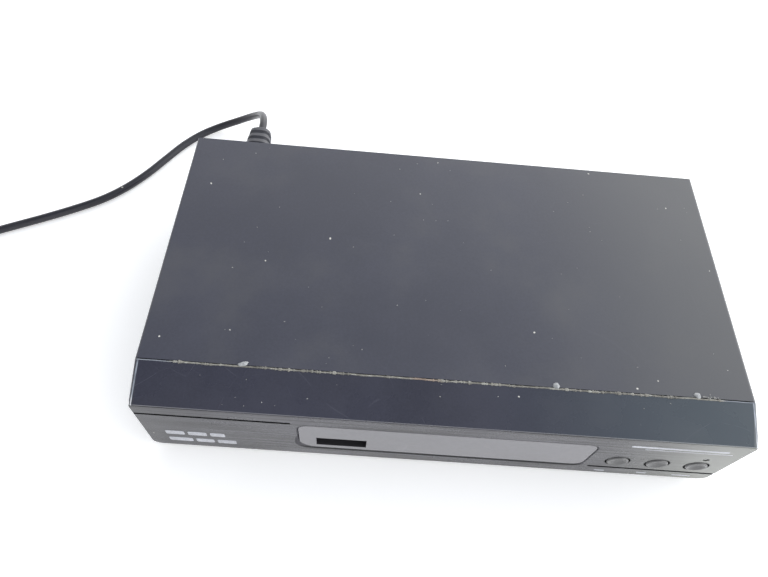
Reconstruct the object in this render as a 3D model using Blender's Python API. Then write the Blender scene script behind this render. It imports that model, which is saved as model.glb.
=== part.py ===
"""Compact set-top television receiver with a USB recording port.

Metres, +Z up, the front faces -Y. The origin is on the surface that the feet
stand on, under the middle of the case and its rear sockets, without the lead.
"""
import math

import bmesh
import bpy
from mathutils import Matrix, Vector

# ---- case ----
BODY_WIDTH = 0.1684
BODY_DEPTH = 0.093
BODY_HEIGHT = 0.0338
FOOT_HEIGHT = 0.0022
GAP = 0.0003
SHEET = 0.0007

# ---- front moulding ----
BEZEL_DEPTH = 0.0115
BEZEL_DROP = 0.0033
BEZEL_WALL = 0.0020
BEZEL_LIP = 0.0006
BEZEL_TONGUE = 0.0060
TONGUE_WALL = 0.0015
FRONT_WALL = 0.0018
TOP_RADIUS_FRONT = 0.0020
TOP_RADIUS_SEAM = 0.0009
BOTTOM_RADIUS = 0.0028

# ---- front plate, window and grooves ----
PLATE_THICKNESS = 0.0012
PLATE_TOP_RADIUS = 0.0012
PLATE_EDGE = 0.00025
GROOVE_WIDTH = 0.0010
GROOVE_DEPTH = 0.0006
GROOVE_LENGTH = 0.0419
LEFT_GROOVE_DROP = 0.0063
RIGHT_GROOVE_RISE = 0.0057
RIGHT_GROOVE_LENGTH = 0.0388
WINDOW_WIDTH = 0.0837
WINDOW_HEIGHT = 0.0171
WINDOW_CENTRE_X = 0.00135
WINDOW_BELOW_EDGE = 0.0071
WINDOW_RADIUS = 0.0032
WINDOW_GAP = 0.00035
WINDOW_FLANGE = 0.0012

# ---- push buttons ----
BUTTON_RADIUS = 0.0031
BUTTON_CLEARANCE = 0.00045
BUTTON_PITCH = 0.0117
BUTTON_FROM_SIDE = 0.0203
BUTTON_BELOW_LID = 0.0220
BUTTON_PROUD = 0.0004
BUTTON_TRAVEL = 0.0005
BUTTON_FLANGE = 0.0008
BUTTON_STEM_RADIUS = 0.0012
STATUS_RADIUS = 0.0006
STATUS_ABOVE_BUTTON = 0.0059
STATUS_LENGTH = 0.0042
LAMP_RADIUS = 0.0013
DISPLAY_SIZE = (0.0320, 0.0125)
DISPLAY_RISE = 0.0010
DISPLAY_X = 0.0180
INFRARED_SIZE = 0.0070
INFRARED_X = -0.0095

# ---- boards ----
BOARD = 0.0016
BOARD_SIDE_GAP = 0.0016
BOARD_SPACING = 0.0040
POWER_BOARD_WIDTH = 0.0350
PILLAR_INSET = 0.0040
PILLAR_RADIUS = 0.0026
MAIN_BOARD_RISE = 0.0060
FRONT_BOARD_BACK = 0.0100
DISPLAY_DEPTH = 0.0068
SWITCH_SIZE = 0.0060
SWITCH_HEIGHT = 0.0035
PLUNGER_RADIUS = 0.0017
PLUNGER_PROUD = 0.0010
PLUNGER_DEPTH = 0.0010

PROCESSOR_X = 0.0175
PROCESSOR_SIZE = (0.0150, 0.0150, 0.0016)
MEMORY_SIZE = (0.0120, 0.0080, 0.0012)
SINK_SIZE = (0.0200, 0.0200, 0.0080)
SINK_BASE = 0.0020
SINK_FIN = 0.0014
SINK_CHANNELS = 5
TRANSFORMER_SIZE = (0.0180, 0.0180, 0.0150)
CAPACITOR_SIZE = (0.0050, 0.0160)
FUSE_RADIUS = 0.0026
FUSE_LENGTH = 0.0100
HEADER_SIZE = (0.0050, 0.0100, 0.0060)

# ---- sockets ----
USB_WIDTH = 0.0137
USB_HEIGHT = 0.0057
USB_CENTRE_X = -0.0283
USB_LENGTH = 0.0140
SOCKET_WALL = 0.0004
USB_TONGUE_SETBACK = 0.0017
RF_LENGTH = 0.0085
RF_PITCH = 0.0150
RF_FROM_SIDE = 0.0142
RF_IN_RADIUS = 0.0058
RF_OUT_RADIUS = 0.0048
HDMI_WIDTH = 0.0150
HDMI_HEIGHT = 0.0060
HDMI_X = 0.0330
SCART_WIDTH = 0.0470
SCART_HEIGHT = 0.0130
SCART_DEPTH = 0.0160
SCART_X = -0.0050
TUNER_SIZE = (0.0280, 0.0220, 0.0110)

# ---- feet and fasteners ----
FOOT_RADIUS = 0.0050
FOOT_INSET_X = 0.0137
FOOT_INSET_Y = 0.0120
SCREW_RADIUS = 0.0015
SCREW_HEAD_RADIUS = 0.0027
SCREW_HEAD_HEIGHT = 0.0011
SCREW_LENGTH = 0.0050
SCREW_CLEARANCE = 0.0003
SCREW_SPACING = 0.0500
SCREW_RISE = 0.0040
SIDE_FLANGE_HEIGHT = 0.0140
SLOT_WIDTH = 0.0016
SLOT_LENGTH = 0.0120
SLOT_PITCH = 0.0045
SLOT_COUNT = 8

# ---- mains lead ----
LEAD_DIAMETER = 0.0028
RELIEF_X = -0.0672
RELIEF_BELOW_LID = 0.0140
RELIEF_HEAD = (0.0120, 0.0075, 0.0140)
RELIEF_TAIL_LENGTH = 0.0112
RELIEF_RADIUS = 0.0047
RELIEF_END_RADIUS = 0.0037
RIB_PITCH = 0.0028
RIB_CUT = 0.0008
NECK_RADIUS = 0.0038
NECK_LENGTH = 0.0045
COIL_CENTRE = (-0.1737, -0.0109)
COIL_MEAN_RADIUS = 0.0168
COIL_TURNS_ACROSS = 5
COIL_LAYERS = 3
TIE_THICKNESS = 0.0008
TIE_WIDTH = 0.0040
PLUG_LENGTH = 0.0350
PLUG_WIDTH = 0.0260
PLUG_TAIL_WIDTH = 0.0110
PLUG_THICKNESS = 0.0136
PIN_RADIUS = 0.0020
PIN_LENGTH = 0.0190
PIN_SPACING = 0.0186

# The route's points are chosen by hand, from the strain relief to the coil.
LEAD_ROUTE = [
    (-0.0672, 0.0624, 0.0220), (-0.0673, 0.0667, 0.0217), (-0.0680, 0.0712, 0.0203),
    (-0.0696, 0.0760, 0.0174), (-0.0724, 0.0803, 0.0132), (-0.0767, 0.0836, 0.0086),
    (-0.0824, 0.0848, 0.0047), (-0.0890, 0.0834, 0.0024), (-0.0958, 0.0790, 0.0016),
    (-0.1018, 0.0722, 0.0015), (-0.1070, 0.0640, 0.0015), (-0.1122, 0.0556, 0.0015),
    (-0.1182, 0.0478, 0.0015), (-0.1252, 0.0412, 0.0015), (-0.1334, 0.0358, 0.0015),
    (-0.1424, 0.0307, 0.0015), (-0.1518, 0.0258, 0.0015), (-0.1612, 0.0210, 0.0015),
    (-0.1690, 0.0169, 0.0019), (-0.1732, 0.0146, 0.0023),
]
# From the coil's top turn to the plug.
PLUG_ROUTE = [
    (-0.1868, 0.0113, 0.0081), (-0.1910, 0.0112, 0.0080), (-0.1954, 0.0104, 0.0078),
    (-0.1998, 0.0087, 0.0075), (-0.2036, 0.0060, 0.0072), (-0.2065, 0.0024, 0.0069),
    (-0.2083, -0.0018, 0.0068), (-0.2090, -0.0064, 0.0068), (-0.2091, -0.0100, 0.0068),
]
ROUTE_STEPS = 3

# ---- places worked out from the sizes above ----
CASE_BOTTOM = FOOT_HEIGHT
LID_TOP = FOOT_HEIGHT + BODY_HEIGHT
FRONT_Y = BUTTON_PROUD - (BUTTON_PROUD + BODY_DEPTH + RF_LENGTH) / 2
REAR_Y = FRONT_Y + BODY_DEPTH
SEAM_Y = FRONT_Y + BEZEL_DEPTH
HALF_WIDTH = BODY_WIDTH / 2
RF_IN_X = HALF_WIDTH - RF_FROM_SIDE
BUTTON_MIDDLE_X = HALF_WIDTH - BUTTON_FROM_SIDE
EDGE_TOP = LID_TOP - BEZEL_DROP
COVER_HALF = HALF_WIDTH
TRAY_HALF = COVER_HALF - SHEET - GAP
TRAY_FLOOR_TOP = CASE_BOTTOM + SHEET
WALL_BACK_Y = FRONT_Y + PLATE_THICKNESS + GAP + FRONT_WALL
BOARD_BOTTOM = TRAY_FLOOR_TOP + MAIN_BOARD_RISE
BOARD_TOP = BOARD_BOTTOM + BOARD
MOUNT_Z = BOARD_TOP + GAP
USB_Z = MOUNT_Z + USB_HEIGHT / 2
BUTTON_Z = LID_TOP - BUTTON_BELOW_LID
STATUS_Z = BUTTON_Z + STATUS_ABOVE_BUTTON
WINDOW_TOP = EDGE_TOP - WINDOW_BELOW_EDGE
WINDOW_BOTTOM = WINDOW_TOP - WINDOW_HEIGHT
WINDOW_BACK_Y = FRONT_Y + PLATE_THICKNESS + GAP + WINDOW_FLANGE
FRONT_BOARD_Y = WINDOW_BACK_Y + GAP + DISPLAY_DEPTH + GAP
REAR_WALL_Y = REAR_Y - SHEET
RELIEF_Z = LID_TOP - RELIEF_BELOW_LID
TONGUE_END_Y = SEAM_Y + BEZEL_TONGUE
BOARD_HALF = TRAY_HALF - TONGUE_WALL - BOARD_SIDE_GAP
POWER_BOARD_LEFT = -BOARD_HALF
POWER_BOARD_RIGHT = POWER_BOARD_LEFT + POWER_BOARD_WIDTH
MAIN_BOARD_LEFT = POWER_BOARD_RIGHT + BOARD_SPACING
MAIN_BOARD_RIGHT = BOARD_HALF
PILLAR_FRONT_Y = TONGUE_END_Y + PILLAR_INSET + 0.004
PILLAR_REAR_Y = REAR_WALL_Y - 0.0100
POWER_BOARD_REAR_Y = REAR_WALL_Y - NECK_LENGTH - 0.0060
BOARD_MIDDLE_Y = (PILLAR_FRONT_Y + POWER_BOARD_REAR_Y) / 2
BUTTONS = {
    "channel_down": BUTTON_MIDDLE_X - BUTTON_PITCH,
    "channel_up": BUTTON_MIDDLE_X,
    "standby": BUTTON_MIDDLE_X + BUTTON_PITCH,
}


def clear_scene():
    """Remove every object that a new file starts with."""
    for item in list(bpy.data.objects):
        bpy.data.objects.remove(item, do_unlink=True)


def material(name, colour, roughness, metallic=0.0):
    """A Principled material with one plain colour."""
    made = bpy.data.materials.new(name)
    made.use_nodes = True
    shader = made.node_tree.nodes["Principled BSDF"]
    shader.inputs["Base Color"].default_value = (*colour, 1.0)
    shader.inputs["Roughness"].default_value = roughness
    shader.inputs["Metallic"].default_value = metallic
    return made


def add_object(name, mesh_data, finish=None, location=(0, 0, 0)):
    """Put a mesh in the scene under its sub-part's name."""
    item = bpy.data.objects.new(name, mesh_data)
    item.location = location
    bpy.context.scene.collection.objects.link(item)
    if finish is not None:
        mesh_data.materials.append(finish)
    return item


def mesh_from(shape, name):
    """Turn a bmesh into a mesh with its faces pointing out."""
    bmesh.ops.recalc_face_normals(shape, faces=shape.faces)
    made = bpy.data.meshes.new(name)
    shape.to_mesh(made)
    shape.free()
    return made


def add_box_to(shape, low, high):
    """Add a box between two corners to a bmesh."""
    size = [high[i] - low[i] for i in range(3)]
    centre = [(high[i] + low[i]) / 2 for i in range(3)]
    place = Matrix.Translation(centre) @ Matrix.Diagonal((*size, 1.0))
    bmesh.ops.create_cube(shape, size=1.0, matrix=place)


def block(name, low, high, finish, bevel=0.0):
    """A box between two corners, with its origin at its middle."""
    centre = Vector([(low[i] + high[i]) / 2 for i in range(3)])
    shape = bmesh.new()
    add_box_to(shape, Vector(low) - centre, Vector(high) - centre)
    item = add_object(name, mesh_from(shape, name), finish, centre)
    if bevel:
        edge = item.modifiers.new("edges", "BEVEL")
        edge.width = bevel
        edge.segments = 1
    return item


def boxes(name, corners):
    """A hidden guide made of separate boxes, for one cut or one union."""
    shape = bmesh.new()
    for low, high in corners:
        add_box_to(shape, low, high)
    return as_guide(add_object(name, mesh_from(shape, name)))


def axis_turn(axis):
    """The turn that takes +Z to the given axis."""
    return Vector((0, 0, 1)).rotation_difference(Vector(axis)).to_matrix().to_4x4()


def add_rod_to(shape, start, axis, radius, length, sides=24):
    """Add a cylinder that begins at start and runs along axis to a bmesh."""
    place = Matrix.Translation(start) @ axis_turn(axis) @ Matrix.Translation((0, 0, length / 2))
    bmesh.ops.create_cone(shape, cap_ends=True, segments=sides, radius1=radius, radius2=radius,
                          depth=length, matrix=place)


def rods(name, specs, sides=24):
    """A hidden guide made of separate cylinders, each (start, axis, radius, length)."""
    shape = bmesh.new()
    for start, axis, radius, length in specs:
        add_rod_to(shape, start, axis, radius, length, sides)
    return as_guide(add_object(name, mesh_from(shape, name)))


def turned(name, profile, start, axis, finish, sides=24):
    """Turn a profile of (radius, height) pairs about axis from start.

    A profile whose ends have no radius closes on the axis, and any other closes as a ring.
    """
    shape = bmesh.new()
    rings = []
    for radius, height in profile:
        if radius == 0:
            rings.append([shape.verts.new((0, 0, height))])
            continue
        turns = [2 * math.pi * i / sides for i in range(sides)]
        rings.append([shape.verts.new((radius * math.cos(t), radius * math.sin(t), height))
                      for t in turns])
    pairs = list(zip(rings, rings[1:]))
    if len(rings[0]) > 1 and len(rings[-1]) > 1:
        pairs.append((rings[-1], rings[0]))
    for lower, upper in pairs:
        for i in range(sides):
            j = (i + 1) % sides
            corners = [lower[i % len(lower)], lower[j % len(lower)],
                       upper[j % len(upper)], upper[i % len(upper)]]
            shape.faces.new(list(dict.fromkeys(corners)))
    made = mesh_from(shape, name)
    made.shade_smooth()
    made.set_sharp_from_angle(angle=math.radians(40))
    item = add_object(name, made, finish, start)
    item.rotation_euler = axis_turn(axis).to_euler()
    return item


def solid_disc(radius, length):
    """The profile of a plain cylinder."""
    return [(0, 0), (radius, 0), (radius, length), (0, length)]


def rounded_outline(half, bottom, top, bottom_radius, top_radius, steps=4):
    """Points (x, z) of a rectangle with round corners, anticlockwise from bottom right."""
    corners = [(half - bottom_radius, bottom + bottom_radius, bottom_radius, -90),
               (half - top_radius, top - top_radius, top_radius, 0),
               (-half + top_radius, top - top_radius, top_radius, 90),
               (-half + bottom_radius, bottom + bottom_radius, bottom_radius, 180)]
    points = []
    for x, z, radius, first in corners:
        for i in range(steps + 1):
            turn = math.radians(first + 90 * i / steps)
            points.append((x + radius * math.cos(turn), z + radius * math.sin(turn)))
    return points


def lofted(name, sections, finish=None):
    """A solid through outlines, each (y, points), with its two ends closed."""
    shape = bmesh.new()
    loops = [[shape.verts.new((x, y, z)) for x, z in points] for y, points in sections]
    count = len(loops[0])
    for near, far in zip(loops, loops[1:]):
        for i in range(count):
            j = (i + 1) % count
            shape.faces.new((near[i], near[j], far[j], far[i]))
    shape.faces.new(loops[0])
    shape.faces.new(loops[-1])
    return add_object(name, mesh_from(shape, name), finish)


def as_guide(item):
    """Mark an object as a guide that only cuts or joins others."""
    item.hide_render = True
    item.display_type = "WIRE"
    return item


def combine(item, guide, operation):
    """Add an exact Boolean to an object."""
    step = item.modifiers.new(f"{operation.lower()} {guide.name}", "BOOLEAN")
    step.operation = operation
    step.solver = "EXACT"
    step.object = guide


def cut(item, guide):
    """Take a guide's shape away from an object."""
    combine(item, guide, "DIFFERENCE")


def unite(item, guide):
    """Add a guide's shape to an object."""
    combine(item, guide, "UNION")


def top_cover(finish):
    """Folded steel cover: a flat top and two sides, open at both ends, slotted low on each side."""
    outer = rounded_outline(COVER_HALF, CASE_BOTTOM - 0.01, LID_TOP, TOP_RADIUS_SEAM, TOP_RADIUS_SEAM)
    near, far = SEAM_Y + GAP, REAR_Y + GAP
    cover = lofted("top_cover", [(near, outer), (far, outer)], finish)
    bottom = CASE_BOTTOM + SHEET / 2
    hollow = boxes("cover_hollow", [
        ((-COVER_HALF + SHEET, near - 0.01, CASE_BOTTOM - 0.02),
         (COVER_HALF - SHEET, far + 0.01, LID_TOP - SHEET))])
    below = boxes("cover_below", [((-0.2, near - 0.02, CASE_BOTTOM - 0.03), (0.2, far + 0.02, bottom))])
    cut(cover, hollow)
    cut(cover, below)
    slots = []
    low_z = SIDE_FLANGE_HEIGHT + 2 * SHEET
    for side in (-1, 1):
        for i in range(SLOT_COUNT):
            y = (i - (SLOT_COUNT - 1) / 2) * SLOT_PITCH + (near + far) / 2
            x = side * COVER_HALF
            slots.append(((x - 0.003, y - SLOT_WIDTH / 2, low_z),
                          (x + 0.003, y + SLOT_WIDTH / 2, low_z + SLOT_LENGTH)))
    cut(cover, boxes("cover_slots", slots))
    cut(cover, screw_holes("cover_holes"))
    return cover


def side_screw_places():
    """Where the four cover screws go: (side, y, z)."""
    middle = (SEAM_Y + REAR_Y) / 2 + BEZEL_TONGUE / 2
    z = CASE_BOTTOM + SCREW_RISE
    return [(side, middle + end * SCREW_SPACING / 2, z) for side in (-1, 1) for end in (-1, 1)]


def screw_holes(name):
    """Clearance holes through the cover and the tray's flanges."""
    reach = SCREW_LENGTH + 0.002
    return rods(name, [((side * (HALF_WIDTH + 0.001), y, z), (-side, 0, 0),
                        SCREW_RADIUS + SCREW_CLEARANCE, reach) for side, y, z in side_screw_places()], 16)


def base_tray(finish):
    """Folded steel tray: floor, two side flanges and the rear wall with its socket openings."""
    flange_front = SEAM_Y + BEZEL_TONGUE + 0.001
    tray = block("base_tray", (-TRAY_HALF, SEAM_Y + GAP, CASE_BOTTOM),
                 (TRAY_HALF, REAR_Y, TRAY_FLOOR_TOP), finish)
    unite(tray, boxes("tray_rear_wall", [
        ((-TRAY_HALF, REAR_WALL_Y, CASE_BOTTOM), (TRAY_HALF, REAR_Y, LID_TOP - SHEET - GAP))]))
    for side, word in ((-1, "left"), (1, "right")):
        inner, outer = sorted((side * (TRAY_HALF - SHEET), side * TRAY_HALF))
        unite(tray, boxes(f"tray_{word}_flange", [
            ((inner, flange_front, CASE_BOTTOM), (outer, REAR_Y, CASE_BOTTOM + SIDE_FLANGE_HEIGHT))]))
    y = REAR_WALL_Y - 0.002
    reach = 0.005
    openings = []
    for x, width, height, z in (
            (HDMI_X, HDMI_WIDTH, HDMI_HEIGHT, MOUNT_Z + HDMI_HEIGHT / 2),
            (SCART_X, SCART_WIDTH, SCART_HEIGHT, MOUNT_Z + SCART_HEIGHT / 2)):
        half_x = width / 2 + GAP
        half_z = height / 2 + GAP
        openings.append(((x - half_x, y, z - half_z), (x + half_x, y + reach, z + half_z)))
    openings.extend(vent_slots())
    cut(tray, boxes("tray_openings", openings))
    rf_z = MOUNT_Z + TUNER_SIZE[2] / 2
    cut(tray, rods("tray_bores", [
        ((RF_IN_X, y, rf_z), (0, 1, 0), RF_IN_RADIUS + GAP, reach),
        ((RF_IN_X - RF_PITCH, y, rf_z), (0, 1, 0), RF_OUT_RADIUS + GAP, reach),
        ((RELIEF_X, y, RELIEF_Z), (0, 1, 0), NECK_RADIUS + GAP, reach)]))
    cut(tray, screw_holes("tray_holes"))
    return tray


def vent_slots():
    """Rows of slots through the tray's floor, under the boards."""
    slots = []
    for centre_x in (-HALF_WIDTH * 0.6, HALF_WIDTH * 0.36):
        for i in range(SLOT_COUNT):
            x = centre_x + (i - (SLOT_COUNT - 1) / 2) * SLOT_PITCH
            y = BOARD_MIDDLE_Y
            slots.append(((x - SLOT_WIDTH / 2, y - SLOT_LENGTH / 2, CASE_BOTTOM - 0.001),
                          (x + SLOT_WIDTH / 2, y + SLOT_LENGTH / 2, TRAY_FLOOR_TOP + 0.001)))
    return slots


def bezel_outline(y, inset):
    """The moulding's outline at a depth, drawn in by a wall."""
    along = (y - FRONT_Y) / BEZEL_DEPTH
    top = EDGE_TOP + BEZEL_DROP * along
    radius = TOP_RADIUS_FRONT + (TOP_RADIUS_SEAM - TOP_RADIUS_FRONT) * along
    return rounded_outline(HALF_WIDTH - inset, CASE_BOTTOM + inset, top - inset,
                           max(BOTTOM_RADIUS - inset, 0.0005), max(radius - inset, 0.0003))


def front_bezel(finish):
    """Moulded front hood: sloping top strip, sides, wall behind the plate and a tongue under the cover."""
    bezel = lofted("front_bezel", [(y, bezel_outline(y, 0.0)) for y in (FRONT_Y, SEAM_Y)], finish)
    tongue_half = COVER_HALF - SHEET - GAP
    tongue_top = LID_TOP - SHEET - GAP
    tongue_bottom = TRAY_FLOOR_TOP + GAP
    tongue_start = SEAM_Y - TONGUE_WALL
    tongue_end = SEAM_Y + BEZEL_TONGUE
    outer = rounded_outline(tongue_half, tongue_bottom, tongue_top, 0.002, TOP_RADIUS_SEAM)
    unite(bezel, as_guide(lofted("bezel_tongue", [(tongue_start, outer), (tongue_end, outer)])))
    hollow = [(y, bezel_outline(y, BEZEL_WALL)) for y in (WALL_BACK_Y, tongue_start)]
    cut(bezel, as_guide(lofted("bezel_hollow", hollow)))
    inner = rounded_outline(tongue_half - TONGUE_WALL, tongue_bottom + TONGUE_WALL,
                            tongue_top - TONGUE_WALL, 0.001, 0.001)
    cut(bezel, as_guide(lofted("bezel_mouth", [(tongue_start - 0.0001, inner), (tongue_end + 0.001, inner)])))
    seat_back = FRONT_Y + PLATE_THICKNESS + GAP
    cut(bezel, boxes("bezel_plate_seat", [
        ((-HALF_WIDTH - 0.001, FRONT_Y - 0.001, CASE_BOTTOM - 0.001),
         (HALF_WIDTH + 0.001, seat_back, EDGE_TOP - BEZEL_LIP))]))
    flange = WINDOW_FLANGE + 2 * GAP
    low_x, high_x = window_sides()
    cut(bezel, boxes("bezel_window_opening", [
        ((low_x - flange, FRONT_Y, WINDOW_BOTTOM - flange),
         (high_x + flange, WALL_BACK_Y + 0.001, WINDOW_TOP + flange))]))
    well = BUTTON_RADIUS + BUTTON_FLANGE + BUTTON_CLEARANCE
    holes = [((x, FRONT_Y, BUTTON_Z), (0, 1, 0), well, 0.006) for x in BUTTONS.values()]
    cut(bezel, rods("bezel_wells", holes))
    lamp_hole = [((BUTTONS["standby"], FRONT_Y, STATUS_Z), (0, 1, 0), LAMP_RADIUS + GAP, 0.006)]
    cut(bezel, rods("bezel_lamp_hole", lamp_hole))
    posts = [((x, WALL_BACK_Y - FRONT_WALL / 2, EDGE_TOP - 0.006), (0, 1, 0), 0.0018,
              FRONT_BOARD_Y - GAP - WALL_BACK_Y + FRONT_WALL / 2)
             for x in (BUTTONS["channel_down"], BUTTONS["channel_up"])]
    unite(bezel, rods("bezel_posts", posts, 12))
    return bezel


def window_sides():
    """The lowest and highest x of the window."""
    return WINDOW_CENTRE_X - WINDOW_WIDTH / 2, WINDOW_CENTRE_X + WINDOW_WIDTH / 2


def soften(item, width):
    """Break the sharp edges of a plate with one small chamfer."""
    edge = item.modifiers.new("edges", "BEVEL")
    edge.width = width
    edge.segments = 1
    edge.limit_method = "ANGLE"
    edge.angle_limit = math.radians(40)


def upright(name, outline, near, far, finish=None):
    """A plate with an outline in X and Z, from one depth to another."""
    return lofted(name, [(near, outline), (far, outline)], finish)


def shifted(outline, x):
    """An outline moved sideways."""
    return [(px + x, pz) for px, pz in outline]


def window_outline(grow):
    """The window's outline, grown all round."""
    outline = rounded_outline(WINDOW_WIDTH / 2 + grow, WINDOW_BOTTOM - grow, WINDOW_TOP + grow,
                              WINDOW_RADIUS + grow, WINDOW_RADIUS + grow, 5)
    return shifted(outline, WINDOW_CENTRE_X)


def fascia_panel(finish):
    """Flat front plate with the window opening, three button holes and two styling grooves."""
    outline = rounded_outline(HALF_WIDTH, CASE_BOTTOM, EDGE_TOP - BEZEL_LIP - GAP,
                              BOTTOM_RADIUS, PLATE_TOP_RADIUS)
    back = FRONT_Y + PLATE_THICKNESS
    plate = upright("fascia_panel", outline, FRONT_Y, back, finish)
    soften(plate, PLATE_EDGE)
    opening = upright("plate_window_opening", window_outline(WINDOW_GAP), FRONT_Y - 0.001, back + 0.001)
    cut(plate, as_guide(opening))
    holes = [((x, FRONT_Y - 0.001, BUTTON_Z), (0, 1, 0), BUTTON_RADIUS + BUTTON_CLEARANCE, 0.004)
             for x in BUTTONS.values()]
    holes.append(((BUTTONS["standby"], FRONT_Y - 0.001, STATUS_Z), (0, 1, 0), STATUS_RADIUS + GAP, 0.004))
    cut(plate, rods("plate_holes", holes, 28))
    left_z = EDGE_TOP - LEFT_GROOVE_DROP
    right_z = CASE_BOTTOM + RIGHT_GROOVE_RISE
    half = GROOVE_WIDTH / 2
    cut(plate, boxes("plate_grooves", [
        ((-HALF_WIDTH - 0.001, FRONT_Y - 0.001, left_z - half),
         (-HALF_WIDTH + GROOVE_LENGTH, FRONT_Y + GROOVE_DEPTH, left_z + half)),
        ((HALF_WIDTH - RIGHT_GROOVE_LENGTH, FRONT_Y - 0.001, right_z - half),
         (HALF_WIDTH + 0.001, FRONT_Y + GROOVE_DEPTH, right_z + half))]))
    return plate


def display_window(finish):
    """Smoked window that fills the opening, with a flange behind the plate and the port's slot."""
    window = upright("display_window", window_outline(0.0), FRONT_Y, WINDOW_BACK_Y, finish)
    soften(window, PLATE_EDGE)
    flange_front = FRONT_Y + PLATE_THICKNESS + GAP
    flange = upright("window_flange", window_outline(WINDOW_FLANGE), flange_front, WINDOW_BACK_Y)
    unite(window, as_guide(flange))
    half_x = USB_WIDTH / 2 + GAP
    half_z = USB_HEIGHT / 2
    cut(window, boxes("port_slot", [
        ((USB_CENTRE_X - half_x, FRONT_Y - 0.001, USB_Z - half_z),
         (USB_CENTRE_X + half_x, WINDOW_BACK_Y + 0.001, USB_Z + half_z))]))
    return window


def plunger_tip_y():
    """How far forward a switch's plunger reaches."""
    return FRONT_BOARD_Y - GAP - SWITCH_HEIGHT - PLUNGER_PROUD


def button_cap(name, x, finish):
    """Round dished cap with a retaining flange and a stem that reaches the switch."""
    face = FRONT_Y - BUTTON_PROUD
    dish = 0.0003
    flange_start = PLATE_THICKNESS + BUTTON_PROUD + GAP
    flange_end = flange_start + 0.0010
    flange_radius = BUTTON_RADIUS + BUTTON_FLANGE
    length = plunger_tip_y() - GAP - face
    profile = [(0, dish), (BUTTON_RADIUS * 0.55, dish * 0.7), (BUTTON_RADIUS - 0.0004, 0),
               (BUTTON_RADIUS, 0.0004), (BUTTON_RADIUS, flange_start),
               (flange_radius, flange_start), (flange_radius, flange_end),
               (BUTTON_STEM_RADIUS, flange_end), (BUTTON_STEM_RADIUS, length), (0, length)]
    return turned(name, profile, (x, face, BUTTON_Z), (0, 1, 0), finish, 24)


def switch_body(name, x, finish):
    """Tact switch body with the bore that its plunger slides in."""
    half = SWITCH_SIZE / 2
    back = FRONT_BOARD_Y - GAP
    front = back - SWITCH_HEIGHT
    body = block(name, (x - half, front, BUTTON_Z - half), (x + half, back, BUTTON_Z + half), finish)
    depth = PLUNGER_DEPTH + BUTTON_TRAVEL + GAP
    cut(body, rods(f"{name}_bore", [((x, front - 0.001, BUTTON_Z), (0, 1, 0),
                                     PLUNGER_RADIUS + 0.0002, depth + 0.001)], 16))
    return body


def switch_plunger(name, x, finish):
    """The switch's round plunger, part in its bore and part in front of it."""
    length = PLUNGER_PROUD + PLUNGER_DEPTH
    tip = (x, plunger_tip_y(), BUTTON_Z)
    return turned(name, solid_disc(PLUNGER_RADIUS, length), tip, (0, 1, 0), finish, 16)


def socket_shell(name, centre, width, height, near, far, wall, finish):
    """A rectangular metal shell, open at both ends."""
    x, z = centre
    shell = block(name, (x - width / 2, near, z - height / 2), (x + width / 2, far, z + height / 2), finish)
    cut(shell, boxes(f"{name}_mouth", [((x - width / 2 + wall, near - 0.001, z - height / 2 + wall),
                                        (x + width / 2 - wall, far + 0.001, z + height / 2 - wall))]))
    return shell


def usb_port(shell_finish, tongue_finish):
    """The port's shell on the main board behind the window, and its contact tongue."""
    near = WINDOW_BACK_Y + GAP
    socket_shell("usb_shell", (USB_CENTRE_X, USB_Z), USB_WIDTH, USB_HEIGHT, near, near + USB_LENGTH,
                 SOCKET_WALL, shell_finish)
    half = USB_WIDTH / 2 - SOCKET_WALL - 0.0006
    top = USB_Z + USB_HEIGHT / 2 - SOCKET_WALL - GAP
    block("usb_tongue", (USB_CENTRE_X - half, near + USB_TONGUE_SETBACK, top - 0.0019),
          (USB_CENTRE_X + half, near + USB_LENGTH, top), tongue_finish)


def hdmi_port(shell_finish, tongue_finish):
    """The rear picture socket's shell and tongue."""
    z = MOUNT_Z + HDMI_HEIGHT / 2
    near = REAR_Y - 0.012
    far = REAR_Y + 0.0006
    socket_shell("hdmi_shell", (HDMI_X, z), HDMI_WIDTH, HDMI_HEIGHT, near, far, SOCKET_WALL, shell_finish)
    half = HDMI_WIDTH / 2 - 0.0022
    block("hdmi_tongue", (HDMI_X - half, near, z - 0.0006), (HDMI_X + half, far - 0.0012, z + 0.0006),
          tongue_finish)


def scart_socket(finish):
    """The wide rear socket: a block with a ring-shaped slot round its contact tower."""
    z = MOUNT_Z + SCART_HEIGHT / 2
    far = REAR_Y + 0.0010
    half_x, half_z = SCART_WIDTH / 2, SCART_HEIGHT / 2
    socket = block("scart_socket", (SCART_X - half_x, far - SCART_DEPTH, z - half_z),
                   (SCART_X + half_x, far, z + half_z), finish)
    ring = boxes("scart_ring", [((SCART_X - half_x + 0.0015, far - 0.009, z - half_z + 0.0015),
                                 (SCART_X + half_x - 0.0015, far + 0.001, z + half_z - 0.0015))])
    cut(socket, ring)
    unite(socket, boxes("scart_tower", [((SCART_X - half_x + 0.0035, far - 0.0095, z - 0.0028),
                                         (SCART_X + half_x - 0.0035, far - 0.0010, z + 0.0028))]))
    return socket


def rf_socket(name, x, radius, bore, pin, pin_end, finish):
    """An aerial socket: a barrel with a bore and a centre contact, out through the rear wall."""
    z = MOUNT_Z + TUNER_SIZE[2] / 2
    start = REAR_WALL_Y - 0.0030
    end = REAR_Y + RF_LENGTH
    length = end - start
    floor = 0.0015
    profile = [(0, 0), (radius, 0), (radius, length - 0.0004), (radius - 0.0004, length), (bore, length),
               (bore, floor), (pin, floor), (pin, length - pin_end), (0, length - pin_end)]
    return turned(name, profile, (x, start, z), (0, 1, 0), finish, 24)


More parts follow.
